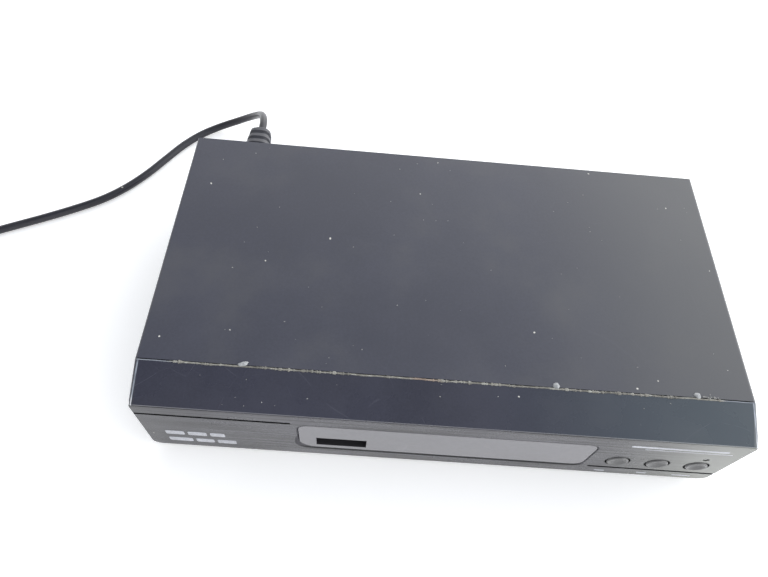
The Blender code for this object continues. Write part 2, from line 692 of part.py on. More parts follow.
def tuner_can(finish):
    """Screening can that carries the two aerial sockets."""
    width, depth, height = TUNER_SIZE
    back = REAR_WALL_Y - 0.0030 - GAP
    x = RF_IN_X - RF_PITCH / 2
    return block("tuner_can", (x - width / 2 + 0.002, back - depth, MOUNT_Z),
                 (x + width / 2 - 0.002, back, MOUNT_Z + height), finish, 0.0004)


def main_board(finish):
    """Main circuit board, from behind the port to the rear sockets, with its fixing holes."""
    near = WINDOW_BACK_Y + GAP + 0.006
    board = block("main_board", (MAIN_BOARD_LEFT, near, BOARD_BOTTOM),
                  (MAIN_BOARD_RIGHT, REAR_WALL_Y - GAP, BOARD_TOP), finish)
    cut(board, board_holes("main_board_holes", main_screw_places()))
    return board


def board_holes(name, places):
    """Guide for the fixing holes through a board."""
    radius = SCREW_RADIUS + SCREW_CLEARANCE
    return rods(name, [((x, y, BOARD_BOTTOM - 0.001), (0, 0, 1), radius, BOARD + 0.002)
                       for x, y in places], 12)


def main_screw_places():
    """Where the main board is fixed: (x, y)."""
    left, right = MAIN_BOARD_LEFT + PILLAR_INSET, MAIN_BOARD_RIGHT - PILLAR_INSET
    front, middle, rear = PILLAR_FRONT_Y, (PILLAR_FRONT_Y + PILLAR_REAR_Y) / 2, PILLAR_REAR_Y
    return [(left, rear), (left, front), (right, front), (right, middle)]


def power_board(finish):
    """Mains supply board beside the lead."""
    board = block("power_board", (POWER_BOARD_LEFT, PILLAR_FRONT_Y - PILLAR_INSET, BOARD_BOTTOM),
                  (POWER_BOARD_RIGHT, POWER_BOARD_REAR_Y, BOARD_TOP), finish)
    cut(board, board_holes("power_board_holes", power_screw_places()))
    return board


def power_screw_places():
    """Where the supply board is fixed: (x, y)."""
    return [(POWER_BOARD_LEFT + PILLAR_INSET, PILLAR_FRONT_Y),
            (POWER_BOARD_RIGHT - PILLAR_INSET, POWER_BOARD_REAR_Y - PILLAR_INSET)]


def pillar(name, x, y, finish):
    """Steel pillar and screw that hold a board off the tray's floor."""
    top = MAIN_BOARD_RISE - GAP
    through = MAIN_BOARD_RISE + BOARD + GAP
    profile = [(0, GAP), (PILLAR_RADIUS, GAP), (PILLAR_RADIUS, top), (SCREW_RADIUS, top),
               (SCREW_RADIUS, through), (SCREW_HEAD_RADIUS, through),
               (SCREW_HEAD_RADIUS, through + 0.0012),
               (SCREW_HEAD_RADIUS - 0.0006, through + 0.0018), (0, through + 0.0018)]
    return turned(name, profile, (x, y, TRAY_FLOOR_TOP), (0, 0, 1), finish, 12)


def front_parts(board_finish, dark_finish, lens_finish):
    """Front board with the display, the remote receiver and the status lamp."""
    front = FRONT_BOARD_Y
    block("front_board", (INFRARED_X - INFRARED_SIZE, front, BOARD_TOP + DISPLAY_RISE),
          (MAIN_BOARD_RIGHT, front + BOARD, EDGE_TOP - BEZEL_WALL - 0.0025), board_finish)
    middle = (WINDOW_TOP + WINDOW_BOTTOM) / 2
    width, height = DISPLAY_SIZE
    display_base = BOARD_TOP + DISPLAY_RISE
    block("display_module", (DISPLAY_X - width / 2, WINDOW_BACK_Y + GAP, display_base),
          (DISPLAY_X + width / 2, front - GAP, display_base + height), dark_finish)
    half = INFRARED_SIZE / 2
    block("infrared_receiver", (INFRARED_X - half, WINDOW_BACK_Y + 0.0012, middle - half),
          (INFRARED_X + half, front - GAP, middle + half), dark_finish)
    x = BUTTONS["standby"]
    lens_start = FRONT_Y + 0.0002
    lens = solid_disc(STATUS_RADIUS, STATUS_LENGTH)
    turned("status_lens", lens, (x, lens_start, STATUS_Z), (0, 1, 0), lens_finish, 12)
    start = lens_start + STATUS_LENGTH + GAP
    end = front - GAP - start
    profile = [(0, 0), (LAMP_RADIUS * 0.6, 0.0003), (LAMP_RADIUS, 0.0012), (LAMP_RADIUS, end), (0, end)]
    turned("status_lamp", profile, (x, start, STATUS_Z), (0, 1, 0), lens_finish, 12)


def standing_block(name, x, y, size, base, finish, bevel=0.0):
    """A block that stands on something, by its middle and its size."""
    width, depth, height = size
    low = (x - width / 2, y - depth / 2, base)
    high = (x + width / 2, y + depth / 2, base + height)
    return block(name, low, high, finish, bevel)


def main_board_parts(dark_finish, metal_finish):
    """Processor with its finned cooler and the memory on the main board."""
    y = BOARD_MIDDLE_Y - 0.004
    standing_block("processor", PROCESSOR_X, y, PROCESSOR_SIZE, MOUNT_Z, dark_finish)
    standing_block("memory_chip", PROCESSOR_X - 0.0220, y, MEMORY_SIZE, MOUNT_Z, dark_finish)
    base = MOUNT_Z + PROCESSOR_SIZE[2] + GAP
    width, depth, height = SINK_SIZE
    sink = standing_block("heat_sink", PROCESSOR_X, y, SINK_SIZE, base, metal_finish)
    channel = (width - SINK_FIN) / SINK_CHANNELS - SINK_FIN
    first = PROCESSOR_X - width / 2 + SINK_FIN
    gaps = []
    for i in range(SINK_CHANNELS):
        x = first + i * (channel + SINK_FIN)
        gaps.append(((x, y - depth, base + SINK_BASE), (x + channel, y + depth, base + height + 0.001)))
    cut(sink, boxes("sink_gaps", gaps))


def power_parts(dark_finish, metal_finish, fuse_finish):
    """Transformer, smoothing capacitor and fuse on the supply board, and the ribbon to the main board."""
    middle_x = (POWER_BOARD_LEFT + POWER_BOARD_RIGHT) / 2
    y = BOARD_MIDDLE_Y
    standing_block("transformer", middle_x, y, TRANSFORMER_SIZE, MOUNT_Z, dark_finish, 0.0008)
    radius, height = CAPACITOR_SIZE
    profile = [(0, 0), (radius, 0), (radius, height - 0.0005), (radius - 0.0005, height), (0, height)]
    front = y - TRANSFORMER_SIZE[1] / 2 - radius - 0.001
    turned("smoothing_capacitor", profile, (middle_x + 0.005, front, MOUNT_Z), (0, 0, 1), metal_finish, 20)
    rear = y + TRANSFORMER_SIZE[1] / 2 + 0.0040
    fuse_end = (POWER_BOARD_LEFT + 0.006, rear, MOUNT_Z + FUSE_RADIUS)
    turned("mains_fuse", solid_disc(FUSE_RADIUS, FUSE_LENGTH), fuse_end, (1, 0, 0), fuse_finish, 16)
    width, _, rise = HEADER_SIZE
    supply_x, header_x = POWER_BOARD_RIGHT - width / 2 - 0.001, MAIN_BOARD_LEFT + width / 2 + 0.001
    standing_block("supply_plug", supply_x, y, HEADER_SIZE, MOUNT_Z, fuse_finish)
    standing_block("board_header", header_x, y, HEADER_SIZE, MOUNT_Z, fuse_finish)
    base = MOUNT_Z + rise + GAP
    standing_block("power_ribbon", (supply_x + header_x) / 2, y, (header_x - supply_x + 0.004, 0.008, 0.0008),
                   base, dark_finish)


def foot(name, x, y, finish):
    """Round rubber foot under the tray."""
    top = FOOT_HEIGHT - GAP
    profile = [(0, 0), (FOOT_RADIUS - 0.0006, 0), (FOOT_RADIUS, 0.0006), (FOOT_RADIUS, top), (0, top)]
    return turned(name, profile, (x, y, 0), (0, 0, 1), finish, 24)


def cover_screw(name, side, y, z, finish):
    """Pan-head screw through the cover's side into the tray."""
    seat = SCREW_HEAD_HEIGHT
    start = Vector((side * (COVER_HALF + GAP + seat), y, z))
    profile = [(0, 0), (SCREW_HEAD_RADIUS - 0.0007, 0), (SCREW_HEAD_RADIUS, 0.0006),
               (SCREW_HEAD_RADIUS, seat),
               (SCREW_RADIUS, seat), (SCREW_RADIUS, seat + SCREW_LENGTH), (0, seat + SCREW_LENGTH)]
    return turned(name, profile, start, (-side, 0, 0), finish, 16)


def strain_relief(finish):
    """Moulded strain relief: inner neck through the wall, square head and a ribbed tapering tail."""
    width, depth, height = RELIEF_HEAD
    near = REAR_Y + GAP
    far = near + depth
    relief = block("strain_relief", (RELIEF_X - width / 2, near, RELIEF_Z - height / 2),
                   (RELIEF_X + width / 2, far, RELIEF_Z + height / 2), finish, 0.0018)
    neck_start = REAR_WALL_Y - NECK_LENGTH
    unite(relief, rods("relief_neck", [((RELIEF_X, neck_start, RELIEF_Z), (0, 1, 0), NECK_RADIUS,
                                        near - neck_start + 0.002)], 20))
    sunk = 0.0010
    taper = (RELIEF_END_RADIUS - RELIEF_RADIUS) / RELIEF_TAIL_LENGTH
    profile = [(0, 0), (RELIEF_RADIUS, 0)]
    for i in range(int(RELIEF_TAIL_LENGTH / RIB_PITCH)):
        start = RIB_PITCH * i
        waist = RELIEF_RADIUS + taper * start - RIB_CUT
        profile += [(waist, sunk + start + 0.0003), (waist, sunk + start + 0.0010),
                    (waist + RIB_CUT, sunk + start + 0.0013),
                    (RELIEF_RADIUS + taper * (start + RIB_PITCH), sunk + start + RIB_PITCH)]
    tip = sunk + RELIEF_TAIL_LENGTH + 0.0006
    profile += [(RELIEF_END_RADIUS - 0.0010, tip), (0, tip)]
    tail = turned("relief_tail", profile, (RELIEF_X, far - sunk, RELIEF_Z), (0, 1, 0), finish, 20)
    unite(relief, as_guide(tail))
    return relief


def smooth_route(points, steps):
    """Points along a Catmull-Rom curve through hand-chosen points."""
    rails = [Vector(p) for p in points]
    ends = [2 * rails[0] - rails[1]] + rails + [2 * rails[-1] - rails[-2]]
    route = []
    for i in range(1, len(ends) - 2):
        a, b, c, d = ends[i - 1:i + 3]
        for k in range(steps):
            t = k / steps
            route.append(0.5 * (2 * b + (c - a) * t + (2 * a - 5 * b + 4 * c - d) * t * t
                                + (3 * b - a - 3 * c + d) * t * t * t))
    route.append(rails[-1])
    return route


def lead_tube(name, points, finish):
    """A stretch of the lead as a round tube."""
    curve = bpy.data.curves.new(name, "CURVE")
    curve.dimensions = "3D"
    curve.bevel_depth = LEAD_DIAMETER / 2
    curve.bevel_resolution = 2
    curve.use_fill_caps = True
    route = smooth_route(points, ROUTE_STEPS)
    spline = curve.splines.new("POLY")
    spline.points.add(len(route) - 1)
    for point, place in zip(spline.points, route):
        point.co = (*place, 1.0)
    curve.materials.append(finish)
    item = bpy.data.objects.new(name, curve)
    bpy.context.scene.collection.objects.link(item)
    return item


def coil_section():
    """The coil's bundle: (inner radius, outer radius, underside, top)."""
    half = COIL_TURNS_ACROSS * LEAD_DIAMETER / 2
    low = TIE_THICKNESS + GAP
    return COIL_MEAN_RADIUS - half, COIL_MEAN_RADIUS + half, low, low + COIL_LAYERS * LEAD_DIAMETER


def lead_coil(finish):
    """The wound part of the lead as one turned ring."""
    inner, outer, low, high = coil_section()
    edge = LEAD_DIAMETER / 3
    profile = [(inner, low + edge), (inner + edge, low), (outer - edge, low), (outer, low + edge),
               (outer, high - edge), (outer - edge, high), (inner + edge, high), (inner, high - edge)]
    return turned("lead_coil", profile, (*COIL_CENTRE, 0), (0, 0, 1), finish, 40)


def coil_tie(finish):
    """Band round the bundle on the coil's front side."""
    inner, outer, low, high = coil_section()
    x, y = COIL_CENTRE
    half = TIE_WIDTH / 2
    sag = outer - math.sqrt(outer ** 2 - half ** 2)
    near, far = y - outer - GAP, y - inner + sag + GAP
    tie = block("coil_tie", (x - half, near - TIE_THICKNESS, low - GAP - TIE_THICKNESS),
                (x + half, far + TIE_THICKNESS, high + GAP + TIE_THICKNESS), finish)
    cut(tie, boxes("tie_loop", [((x - half - 0.001, near, low - GAP), (x + half + 0.001, far, high + GAP))]))
    return tie


def mains_plug(body_finish, pin_finish):
    """Slim two-pin plug lying flat beside the coil, its pins pointing to the front."""
    x, tail_y, z = PLUG_ROUTE[-1]
    tail_y = tail_y - GAP
    front_y = tail_y - PLUG_LENGTH
    half, tail_half = PLUG_WIDTH / 2, PLUG_TAIL_WIDTH / 2
    outline = [(x - tail_half, tail_y), (x + tail_half, tail_y), (x + half, tail_y - PLUG_LENGTH * 0.45),
               (x + half, front_y), (x - half, front_y), (x - half, tail_y - PLUG_LENGTH * 0.45)]
    shape = bmesh.new()
    lower = [shape.verts.new((px, py, 0)) for px, py in outline]
    upper = [shape.verts.new((px, py, PLUG_THICKNESS)) for px, py in outline]
    for i in range(len(outline)):
        j = (i + 1) % len(outline)
        shape.faces.new((lower[i], lower[j], upper[j], upper[i]))
    shape.faces.new(lower)
    shape.faces.new(upper)
    body = add_object("plug_body", mesh_from(shape, "plug_body"), body_finish)
    edge = body.modifiers.new("edges", "BEVEL")
    edge.width = 0.0015
    edge.segments = 2
    for word, side in (("left", -1), ("right", 1)):
        profile = [(0, 0), (PIN_RADIUS, 0), (PIN_RADIUS, PIN_LENGTH - 0.001),
                   (PIN_RADIUS - 0.001, PIN_LENGTH), (0, PIN_LENGTH)]
        turned(f"plug_pin_{word}", profile, (x + side * PIN_SPACING / 2, front_y - GAP, PLUG_THICKNESS / 2),
               (0, -1, 0), pin_finish, 16)


def build():
    """Make every sub-part."""
    clear_scene()
    black_steel = material("black_steel", (0.055, 0.056, 0.066), 0.45)
    tray_steel = material("tray_steel", (0.50, 0.51, 0.52), 0.40, 1.0)
    black_plastic = material("black_plastic", (0.040, 0.041, 0.050), 0.30)
    plate_plastic = material("plate_plastic", (0.16, 0.16, 0.17), 0.35)
    smoked_plastic = material("smoked_plastic", (0.22, 0.22, 0.24), 0.20)
    button_plastic = material("button_plastic", (0.20, 0.20, 0.21), 0.30)
    board_green = material("board_green", (0.03, 0.16, 0.07), 0.50)
    chip_black = material("chip_black", (0.03, 0.03, 0.03), 0.50)
    bright_metal = material("bright_metal", (0.62, 0.62, 0.62), 0.25, 1.0)
    lens_clear = material("lens_clear", (0.05, 0.05, 0.05), 0.15)
    pale_plastic = material("pale_plastic", (0.75, 0.74, 0.70), 0.45)
    rubber = material("foot_rubber", (0.03, 0.03, 0.03), 0.80)
    lead_black = material("lead_black", (0.035, 0.035, 0.038), 0.50)

    top_cover(black_steel)
    base_tray(tray_steel)
    front_bezel(black_plastic)
    fascia_panel(plate_plastic)
    display_window(smoked_plastic)
    for word, x in BUTTONS.items():
        button_cap(f"{word}_button", x, button_plastic)
        switch_plunger(f"{word}_plunger", x, pale_plastic)
        switch_body(f"{word}_switch", x, chip_black)
    front_parts(board_green, chip_black, lens_clear)
    usb_port(bright_metal, chip_black)
    main_board(board_green)
    main_board_parts(chip_black, bright_metal)
    power_board(board_green)
    power_parts(chip_black, bright_metal, pale_plastic)
    places = main_screw_places() + power_screw_places()
    for number, (x, y) in enumerate(places, 1):
        pillar(f"board_pillar_{number}", x, y, bright_metal)
    tuner_can(bright_metal)
    rf_socket("aerial_in_socket", RF_IN_X, RF_IN_RADIUS, 0.0048, 0.0018, 0.0030, bright_metal)
    rf_socket("aerial_out_socket", RF_IN_X - RF_PITCH, RF_OUT_RADIUS, 0.0042, 0.0012, 0.0004, bright_metal)
    hdmi_port(bright_metal, chip_black)
    scart_socket(chip_black)
    for row, y in (("front", SEAM_Y + FOOT_INSET_Y), ("rear", REAR_Y - FOOT_INSET_Y)):
        for word, side in (("left", -1), ("right", 1)):
            foot(f"foot_{row}_{word}", side * (HALF_WIDTH - FOOT_INSET_X), y, rubber)
    for number, (side, y, z) in enumerate(side_screw_places(), 1):
        cover_screw(f"cover_screw_{number}", side, y, z, bright_metal)
    strain_relief(lead_black)
    lead_tube("mains_lead", LEAD_ROUTE, lead_black)
    lead_coil(lead_black)
    coil_tie(chip_black)
    lead_tube("plug_lead", PLUG_ROUTE, lead_black)
    mains_plug(lead_black, bright_metal)


build()
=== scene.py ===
"""Looks of a compact set-top television receiver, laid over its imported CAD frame.

Metres, +Z up, the front faces -Y. Every new piece is a surface worked out on a
numpy grid, and every finish is a node material built from shared effect groups.
"""
import sys

import logging
import math
from dataclasses import dataclass
from enum import Enum
from typing import Any

import bmesh
import bpy
import numpy as np
from mathutils import Matrix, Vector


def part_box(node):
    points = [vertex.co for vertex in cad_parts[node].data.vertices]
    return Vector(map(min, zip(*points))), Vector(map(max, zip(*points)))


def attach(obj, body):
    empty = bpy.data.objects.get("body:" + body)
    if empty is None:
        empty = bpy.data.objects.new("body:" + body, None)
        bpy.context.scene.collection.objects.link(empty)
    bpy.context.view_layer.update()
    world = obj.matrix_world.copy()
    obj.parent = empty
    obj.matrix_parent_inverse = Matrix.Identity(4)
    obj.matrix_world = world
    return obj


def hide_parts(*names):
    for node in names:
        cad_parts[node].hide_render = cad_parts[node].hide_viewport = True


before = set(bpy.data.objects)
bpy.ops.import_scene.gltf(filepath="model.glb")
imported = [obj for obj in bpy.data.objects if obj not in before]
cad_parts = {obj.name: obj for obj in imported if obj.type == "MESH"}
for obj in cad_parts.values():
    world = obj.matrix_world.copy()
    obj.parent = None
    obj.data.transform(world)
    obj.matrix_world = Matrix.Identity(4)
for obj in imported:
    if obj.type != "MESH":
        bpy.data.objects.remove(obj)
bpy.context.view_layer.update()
LOG = logging.getLogger("receiver")
CASE = "case"

Colour = tuple[float, float, float]
Point = tuple[float, float, float]
Pair = tuple[float, float]
Triple = tuple[float, float, float]


# ---------------------------------------------------------------- surfaces


def circle(count: int) -> np.ndarray:
    """Angles of points spaced evenly round a circle."""
    return np.linspace(0, 2 * np.pi, count, endpoint=False)


def quarter(count: int) -> np.ndarray:
    """Angles from nought to a quarter turn, both included."""
    return np.linspace(0, np.pi / 2, count)


def corner_arcs(points: int) -> tuple[np.ndarray, np.ndarray, np.ndarray, np.ndarray]:
    """Four quarter arcs one after another, for a round-cornered outline.

    Args:
        points: Points of each arc.

    Returns:
        The corner's number, the angle and the signs of the corner's two
        coordinates, each with one value a point.
    """
    side = np.repeat(np.arange(4), points)
    angle = np.tile(quarter(points), 4) + side * np.pi / 2
    return side, angle, np.where((side == 0) | (side == 3), 1, -1), np.where(side < 2, 1, -1)


def box_of(node: str) -> tuple[np.ndarray, np.ndarray, np.ndarray]:
    """Lowest corner, highest corner and middle of a CAD node's box."""
    low, high = (np.array(corner, float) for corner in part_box(node))
    return low, high, (low + high) / 2


class Ends(Enum):
    """How the first and last rings of a grid are shut."""

    FAN = "fan"
    LOOP = "loop"


@dataclass
class Skin:
    """A mesh in the making: corner points, faces and one UV pair per face corner."""

    points: np.ndarray
    faces: list[tuple[int, ...]]
    uvs: np.ndarray


def join(skins: list[Skin]) -> Skin:
    """Several skins as one, in their order.

    Args:
        skins: The skins.

    Returns:
        One skin with all their points and faces.
    """
    starts = np.cumsum([0] + [len(skin.points) for skin in skins[:-1]]).tolist()
    faces = [tuple(i + start for i in face) for skin, start in zip(skins, starts) for face in skin.faces]
    return Skin(np.vstack([skin.points for skin in skins]), faces, np.vstack([skin.uvs for skin in skins]))


def grid_skin(points: np.ndarray, ends: Ends = Ends.FAN, along: np.ndarray | None = None) -> Skin:
    """Join a grid of closed rings into faces.

    Point (i, j) meets (i+1, j), (i+1, j+1) and (i, j+1), and the last point of a
    ring meets its first. Fans close the end rings on their mean points.

    Args:
        points: Places of shape (rings, points of a ring, 3).
        ends: How the first and the last ring are shut.
        along: Length reached at each ring, for the UV map.

    Returns:
        The skin.
    """
    rings, count = points.shape[:2]
    rows = np.arange(rings if ends is Ends.LOOP else rings - 1)
    i, j = (a.ravel() for a in np.meshgrid(rows, np.arange(count), indexing="ij"))
    row = np.stack([i, i, i + 1, i + 1], 1)
    col = np.stack([j, j + 1, j + 1, j], 1)
    faces = (row % rings) * count + col % count
    v = np.arange(rings + 1, dtype=float) if along is None else np.append(along, 2 * along[-1] - along[-2])
    u = np.linspace(0, 1, count + 1)
    uvs = np.stack([u[col], v[row]], -1).reshape(-1, 2)
    places = points.reshape(-1, 3)
    if ends is Ends.LOOP:
        return Skin(places, [tuple(f) for f in faces.tolist()], uvs)
    places = np.vstack([places, points[0].mean(0), points[-1].mean(0)])
    k = np.arange(count)
    n = (k + 1) % count
    first = np.stack([np.full(count, rings * count), n, k], 1)
    last_row = (rings - 1) * count
    last = np.stack([np.full(count, rings * count + 1), last_row + k, last_row + n], 1)
    fan_u = np.stack([(u[k] + u[k + 1]) / 2, u[k], u[k + 1]], 1)
    flat = np.stack([fan_u, np.full((count, 3), v[0])], -1).reshape(-1, 2)
    listed = [tuple(f) for f in faces.tolist() + np.vstack([first, last]).tolist()]
    return Skin(places, listed, np.vstack([uvs, flat, flat]))


def place(skin: Skin, name: str, finish: bpy.types.Material, body: str = CASE,
          stands_for: tuple[str, ...] = (), sharp: float = 38.0) -> bpy.types.Object:
    """Turn a skin into a piece that rides on a body.

    Args:
        skin: The points and faces, already where they belong.
        name: The piece's name.
        finish: Its material.
        body: The CAD body it moves with.
        stands_for: CAD nodes that it hides.
        sharp: Edges that turn by more than this many degrees stay crisp.

    Returns:
        The new object, at the origin.
    """
    mesh = bpy.data.meshes.new(name)
    mesh.from_pydata(skin.points.tolist(), [], skin.faces)
    layer = mesh.uv_layers.new(name="UVMap")
    layer.data.foreach_set("uv", skin.uvs.astype(np.float32).ravel())
    work = bmesh.new()
    work.from_mesh(mesh)
    bmesh.ops.remove_doubles(work, verts=work.verts, dist=1e-7)
    bmesh.ops.recalc_face_normals(work, faces=work.faces)
    work.to_mesh(mesh)
    work.free()
    mesh.shade_smooth()
    mesh.set_sharp_from_angle(angle=math.radians(sharp))
    mesh.materials.append(finish)
    made = bpy.data.objects.new(name, mesh)
    bpy.context.scene.collection.objects.link(made)
    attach(made, body)
    if stands_for:
        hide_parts(*stands_for)
    LOG.info("%s: %d faces", name, len(mesh.polygons))
    return made


def turned_skin(profile: np.ndarray, start: np.ndarray, axis: Point, sides: int) -> Skin:
    """Surface of revolution: the point at angle a and height h is start + h axis + r (cos a, sin a).

    Args:
        profile: (radius, height) pairs, whose two ends are fanned shut.
        start: Where height is 0.
        axis: Unit vector along X, Y or Z that height runs in.
        sides: Points round each ring.

    Returns:
        The skin.
    """
    w = np.array(axis, float)
    helper = np.array([0.0, 0.0, 1.0]) if abs(w[2]) < 0.9 else np.array([1.0, 0.0, 0.0])
    u = np.cross(helper, w)
    v = np.cross(w, u)
    a = circle(sides)
    ring = np.cos(a)[:, None] * u + np.sin(a)[:, None] * v
    r, h = profile[:, 0][:, None, None], profile[:, 1][:, None, None]
    steps = np.linalg.norm(np.diff(profile, axis=0), axis=1)
    return grid_skin(start + h * w + r * ring, along=np.append(0, np.cumsum(steps)))


def swept_tube(path: np.ndarray, radius: float, sides: int = 14) -> Skin:
    """Round tube: each ring lies square to the path's own direction, on level and upright axes.

    Args:
        path: Centreline points of shape (n, 3).
        radius: The tube's radius.
        sides: Points round each ring.

    Returns:
        The skin, with metres along it as V.
    """
    ahead = np.gradient(path, axis=0)
    ahead /= np.linalg.norm(ahead, axis=1, keepdims=True)
    level = np.cross(ahead, [0.0, 0.0, 1.0])
    level /= np.linalg.norm(level, axis=1, keepdims=True)
    over = np.cross(level, ahead)
    a = circle(sides)
    ring = np.cos(a)[None, :, None] * level[:, None] + np.sin(a)[None, :, None] * over[:, None]
    run = np.append(0, np.cumsum(np.linalg.norm(np.diff(path, axis=0), axis=1)))
    return grid_skin(path[:, None] + radius * ring, along=run)


def rounded_slab(low: np.ndarray, high: np.ndarray, corner: float, edge: float) -> Skin:
    """A slab that is thin along Y, with a round-cornered outline and eased edges.

    The outline is a rectangle with corner arcs. It is drawn in by edge (1 - cos t)
    where the depth is edge (1 - sin t) from either face.

    Args:
        low: Lowest corner.
        high: Highest corner.
        corner: Radius of the outline's corners.
        edge: Radius of the eased edges.

    Returns:
        The skin.
    """
    mid, half = (low + high) / 2, (high - low) / 2
    t = quarter(4)
    sunk, drawn_in = edge * (1 - np.sin(t)), edge * (1 - np.cos(t))
    depth = np.concatenate([low[1] + sunk[::-1], high[1] - sunk])[:, None]
    inset = np.concatenate([drawn_in[::-1], drawn_in])[:, None]
    _, angle, sign_x, sign_z = corner_arcs(5)
    radius = np.maximum(corner - inset, corner * 0.2)
    x = mid[0] + sign_x * (half[0] - inset - radius) + radius * np.cos(angle)
    z = mid[2] + sign_z * (half[2] - inset - radius) + radius * np.sin(angle)
    return grid_skin(np.stack([x, depth + 0 * angle, z], -1))


def lofted_skin(y: np.ndarray, wide: np.ndarray, tall: np.ndarray, power: np.ndarray | float,
                middle: tuple[float, float], sides: int) -> Skin:
    """Loft along Y whose ring at each y is |u / wide|^power + |v / tall|^power = 1.

    Args:
        y: Place of each ring.
        wide: Half width of each ring, along X.
        tall: Half height of each ring, along Z.
        power: The ring's power, where 2 is an ellipse and more is squarer.
        middle: The rings' common X and Z.
        sides: Points round each ring.

    Returns:
        The skin.
    """
    a = circle(sides)
    c, s = np.cos(a), np.sin(a)
    bend = 2 / np.broadcast_to(np.asarray(power, float), len(y))[:, None]
    u = wide[:, None] * np.sign(c) * abs(c) ** bend
    v = tall[:, None] * np.sign(s) * abs(s) ** bend
    return grid_skin(np.stack([middle[0] + u, y[:, None] + 0 * u, middle[1] + v], -1))


def smooth_path(points: np.ndarray, steps: int) -> np.ndarray:
    """Catmull-Rom curve through points, where each stretch is a cubic with its ends' mean slopes.

    Args:
        points: Points of shape (n, 3).
        steps: Parts of each stretch.

    Returns:
        The curve's points.
    """
    ends = np.vstack([2 * points[0] - points[1], points, 2 * points[-1] - points[-2]])
    a, b, c, d = (ends[k:len(ends) - 3 + k, None] for k in range(4))
    t = (np.arange(steps) / steps)[None, :, None]
    squared, cubed = 2 * a - 5 * b + 4 * c - d, 3 * b - a - 3 * c + d
    curve = 0.5 * (2 * b + (c - a) * t + squared * t ** 2 + cubed * t ** 3)
    return np.vstack([curve.reshape(-1, 3), points[-1:]])


# ---------------------------------------------------------------- shader trees


class Tree:
    """A node tree with short calls for adding and joining nodes."""

    def __init__(self, tree: bpy.types.NodeTree) -> None:
        """Keep the tree."""
        self.tree = tree

    def link(self, value: Any, socket: bpy.types.NodeSocket) -> None:
        """Feed a socket with another node's output, or set it to a plain value.

        Args:
            value: The output or the plain value.
            socket: The socket to feed.
        """
        if isinstance(value, bpy.types.NodeSocket):
            self.tree.links.new(value, socket)
        else:
            socket.default_value = value

    def add(self, kind: str, inputs: dict[str | int, Any] | None = None, **settings: Any) -> bpy.types.Node:
        """Add a node.

        Args:
            kind: The node's type without its ShaderNode part.
            inputs: Socket name or number to a value, or to another node's output.
            **settings: Properties of the node.

        Returns:
            The node.
        """
        node = self.tree.nodes.new("ShaderNode" + kind)
        for key, value in settings.items():
            setattr(node, key, value)
        for key, value in (inputs or {}).items():
            self.link(value, node.inputs[key])
        return node

    def maths(self, operation: str, a: Any, b: Any = 0.0, c: Any = 0.0, clamp: bool = False) -> Any:
        """One sum on numbers."""
        return self.add("Math", {0: a, 1: b, 2: c}, operation=operation, use_clamp=clamp).outputs[0]

    def away(self, value: Any, middle: float) -> Any:
        """How far a number is from a middle value, never negative."""
        return self.maths("ABSOLUTE", self.maths("SUBTRACT", value, middle))

    def split(self, vector: Any) -> tuple[Any, Any, Any]:
        """The X, Y and Z of a vector."""
        return tuple(self.add("SeparateXYZ", {0: vector}).outputs)

    def ramp(self, value: Any, low: float, high: float, start: float = 0.0, end: float = 1.0) -> Any:
        """A number carried smoothly from one range to another."""
        inputs = {"Value": value, "From Min": low, "From Max": high, "To Min": start, "To Max": end}
        return self.add("MapRange", inputs, interpolation_type="SMOOTHSTEP").outputs["Result"]

    def blend(self, factor: Any, a: Any, b: Any) -> Any:
        """Two colours mixed by a factor: a at 0 and b at 1.

        Args:
            factor: From 0 to 1.
            a: First colour, as three numbers or an output.
            b: Second colour, likewise.

        Returns:
            The mixed colour.
        """
        node = self.add("Mix", {"Factor": factor}, data_type="RGBA")
        for socket, value in ((node.inputs[6], a), (node.inputs[7], b)):
            self.link(value if isinstance(value, bpy.types.NodeSocket) else (*value, 1.0), socket)
        return node.outputs[2]

    def noise(self, vector: Any, scale: Any, detail: float = 3.0, rough: float = 0.5) -> Any:
        """Fractal noise from 0 to 1."""
        inputs = {"Vector": vector, "Scale": scale, "Detail": detail, "Roughness": rough}
        return self.add("TexNoise", inputs).outputs["Fac"]

    def warp(self, vector: Any, scale: float, detail: float, reach: float) -> Any:
        """A vector pushed about by coloured noise.

        Args:
            vector: The vector.
            scale: The noise's scale.
            detail: The noise's detail.
            reach: The most that it is moved along each axis.

        Returns:
            The moved vector.
        """
        bend = self.add("TexNoise", {"Vector": vector, "Scale": scale, "Detail": detail})
        moved = {0: bend.outputs["Color"], 1: (reach, reach, reach), 2: vector}
        return self.add("VectorMath", moved, operation="MULTIPLY_ADD").outputs[0]


class Effect(Enum):
    """The shared effect groups."""

    GRAIN = "moulded_grain"
    DUST = "dust_specks"
    SCRATCH = "hair_scratches"
    BRUSH = "brushed_lines"
    SMUDGE = "handling_smudges"


